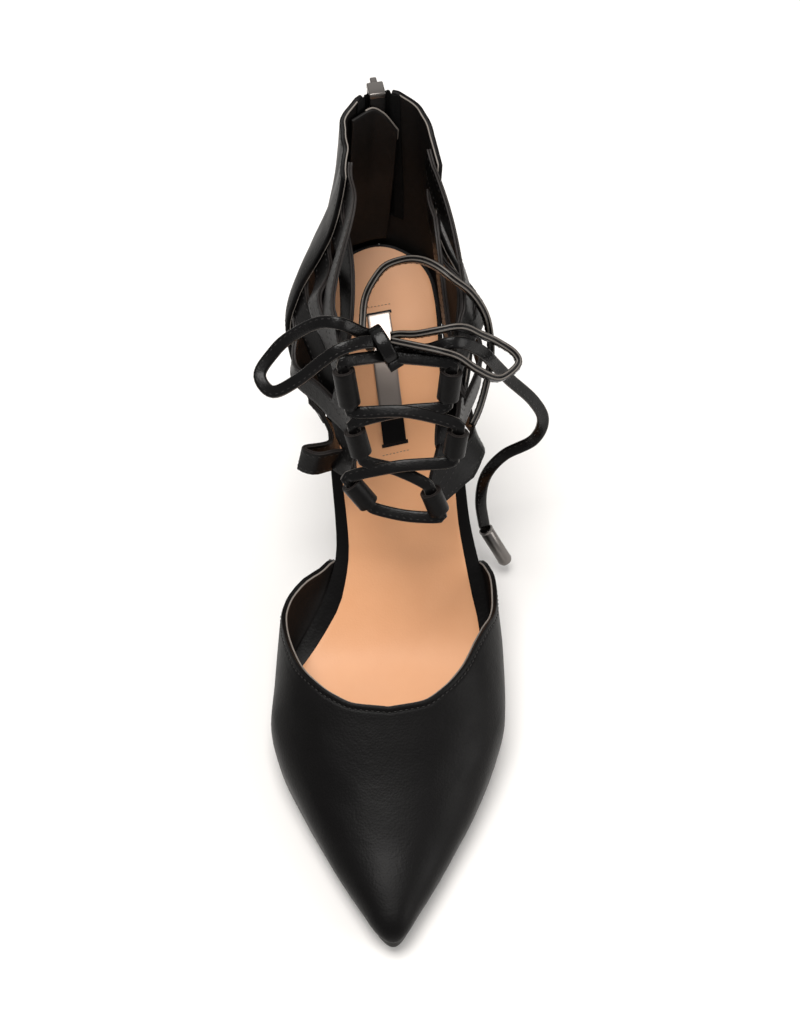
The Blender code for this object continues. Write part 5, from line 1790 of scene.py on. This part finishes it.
    def build(self) -> list[bpy.types.Object]:
        """Lace, knot and metal end."""
        made = []
        places: list[Matrix] = []
        cage = smooth_path(self.cage_route(), self.spacing)
        piece, found = self.band("lace_through_loops", cage, Lay.FACE)
        made.append(settle(piece, "lace_leather", "lace_bar", "lace_cross_low", "lace_cross_high"))
        places += found
        knot = self.knot()
        aglet = self.aglet()
        made += [knot, aglet]
        cords = (
            ("lace_bow_medial", BOW_MEDIAL, Lay.FACE, "object", []),
            ("lace_bow_lateral", BOW_LATERAL, Lay.EDGE, "object", []),
            ("lace_end_medial", END_MEDIAL, Lay.EDGE, "bare", []),
            ("lace_end_lateral", END_LATERAL, Lay.FACE, "fitting", [aglet, knot]),
        )
        for node, route, lay, far_end, pieces in cords:
            path = smooth_path([place(*point) for point in route], self.spacing)
            piece, found = self.band(node + "_band", path, lay)
            settle(piece, "lace_leather", node)
            length = float(run_along(path)[-1])
            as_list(pieces)
            places += found
            made.append(piece)
        seam = Seam()
        made.append(settle(seam.piece("lace_stitches", places), "lace_leather"))
        return made

    def knot(self) -> bpy.types.Object:
        """Turn of lace wrapped round the bow."""
        centre = place(*self.knot_centre)
        long, deep = Vector(self.knot_long) * MM, Vector(self.knot_deep) * MM
        angles = [math.radians(angle) for angle in spread(*self.knot_turn, 60)]
        turn = [centre + long * math.cos(angle) + deep * math.sin(angle) for angle in angles]
        tip = [turn[-1] - (long + deep * self.knot_tip_drop) * reach for reach in self.knot_tip]
        path = turn + tip
        frames = [frame_at(point, along, point - centre) for point, along in zip(path, tangents(path))]
        section = [(across * self.knot_wider, up) for across, up in self.section()]
        shape = cap(swept(frames, section))
        return settle(new_piece("lace_knot_turn", shape, LACE_CALF), "lace_leather", "lace_knot")

    def aglet(self) -> bpy.types.Object:
        """Metal tube with a rolled rim, on the end that shows."""
        start, tip = place(*AGLET_START), place(*AGLET_TIP)
        long = (tip - start).length / MM
        profile = [*AGLET_FOOT, *((radius, long - before) for radius, before in AGLET_HEAD)]
        up = Vector((0.0, 0.0, 1.0))
        turn = up.rotation_difference((tip - start).normalized()).to_matrix().to_4x4()
        turn.translation = start
        shape = bmesh.new()
        verts = [shape.verts.new((radius * MM, 0.0, height * MM)) for radius, height in profile]
        edges = [shape.edges.new(pair) for pair in zip(verts, verts[1:])]
        bmesh.ops.spin(shape, geom=verts + edges, cent=(0.0, 0.0, 0.0), axis=up, angle=2.0 * math.pi,
                       steps=self.aglet_segments, use_merge=True, use_duplicate=False)
        bmesh.ops.transform(shape, matrix=turn, verts=shape.verts)
        piece = new_piece("lace_aglet_tube", cap(shape), GUNMETAL)
        piece.data.set_sharp_from_angle(angle=math.radians(SHARP_ANGLE))
        return settle(piece, "gunmetal", "lace_aglet")


# Lights: name, place and size in metres, power in watts
SOFTBOXES = (
    ("key_softbox", (-0.15, -0.02, 1.3), 0.7, 15.0), ("right_softbox", (1.1, -0.3, 0.6), 0.7, 6.0),
    ("back_softbox", (-0.2, 1.3, 0.7), 1.4, 4.0))


@dataclass
class Studio:
    """Pale floor, soft light and the photograph's camera."""

    image: tuple[int, int] = (800, 1013)
    focal: float = 1901.776
    elevation: float = math.radians(57.056)
    azimuth: float = math.radians(-1.234)
    distance: float = 650.2
    aim: tuple[float, float, float] = (0.0, 120.0, 50.0)
    aim_pixel: tuple[float, float] = (385.7, 565.9)
    sensor: float = 36.0
    floor_half: float = 6.0
    world_colour: str = "#ffffff"
    world_strength: float = 0.42
    light_colour: tuple[float, float, float] = (1.0, 0.98, 0.955)
    light_aim: tuple[float, float, float] = (0.0, 0.0, 0.05)

    def build(self) -> None:
        """Floor, lights, world and camera."""
        self.camera()
        bpy.context.scene.view_settings.view_transform = "Standard"
        floor = bmesh.new()
        bmesh.ops.create_grid(floor, x_segments=2, y_segments=2, size=self.floor_half)
        new_piece("studio_floor", floor, PALE_FLOOR)
        world = bpy.data.worlds.new("studio_white")
        bpy.context.scene.world = world
        world.use_nodes = True
        sky = world.node_tree.nodes["Background"]
        sky.inputs["Color"].default_value = srgb(self.world_colour)
        sky.inputs["Strength"].default_value = self.world_strength
        for name, spot, size, power in SOFTBOXES:
            light = bpy.data.lights.new(name, "AREA")
            light.energy = power
            light.color = self.light_colour
            light.size = size
            lamp = bpy.data.objects.new(name, light)
            lamp.location = spot
            aim = Vector(self.light_aim) - Vector(spot)
            lamp.rotation_euler = aim.to_track_quat("-Z", "Y").to_euler()
            bpy.context.scene.collection.objects.link(lamp)

    def camera(self) -> None:
        """Camera fitted to the photograph, with the one shoe in the middle."""
        wide, tall = self.image
        lens = bpy.data.cameras.new("photo_camera")
        lens.sensor_width = self.sensor
        lens.lens = self.focal * self.sensor / tall
        lens.shift_x = (wide / 2.0 - self.aim_pixel[0]) / tall
        lens.shift_y = (self.aim_pixel[1] - tall / 2.0) / tall
        lens.clip_start = 0.01
        back = Vector((math.sin(self.azimuth) * math.cos(self.elevation),
                       -math.cos(self.azimuth) * math.cos(self.elevation), math.sin(self.elevation)))
        right = Vector((math.cos(self.azimuth), math.sin(self.azimuth), 0.0))
        turn = Matrix((right, back.cross(right), back)).transposed().to_4x4()
        turn.translation = place(*self.aim) + back * self.distance * MM
        camera = bpy.data.objects.new("photo_camera", lens)
        camera.matrix_world = turn
        bpy.context.scene.collection.objects.link(camera)
        bpy.context.scene.camera = camera


def main() -> None:
    """Load the frame and dress it, piece by piece."""
    logging.basicConfig(level=logging.INFO, format="%(name)s %(message)s")
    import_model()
    last = Last()
    form = QuarterForm(last)
    Studio().build()
    made: list[bpy.types.Object] = []
    for assembly in (Lace(), Vamp(last), Quarter(form), Zip(form), Cage(form), Bottom(last), Heel(last)):
        made += assembly.build()
    LOG.info("%d pieces", len(made))


if __name__ == "__main__":
    main()
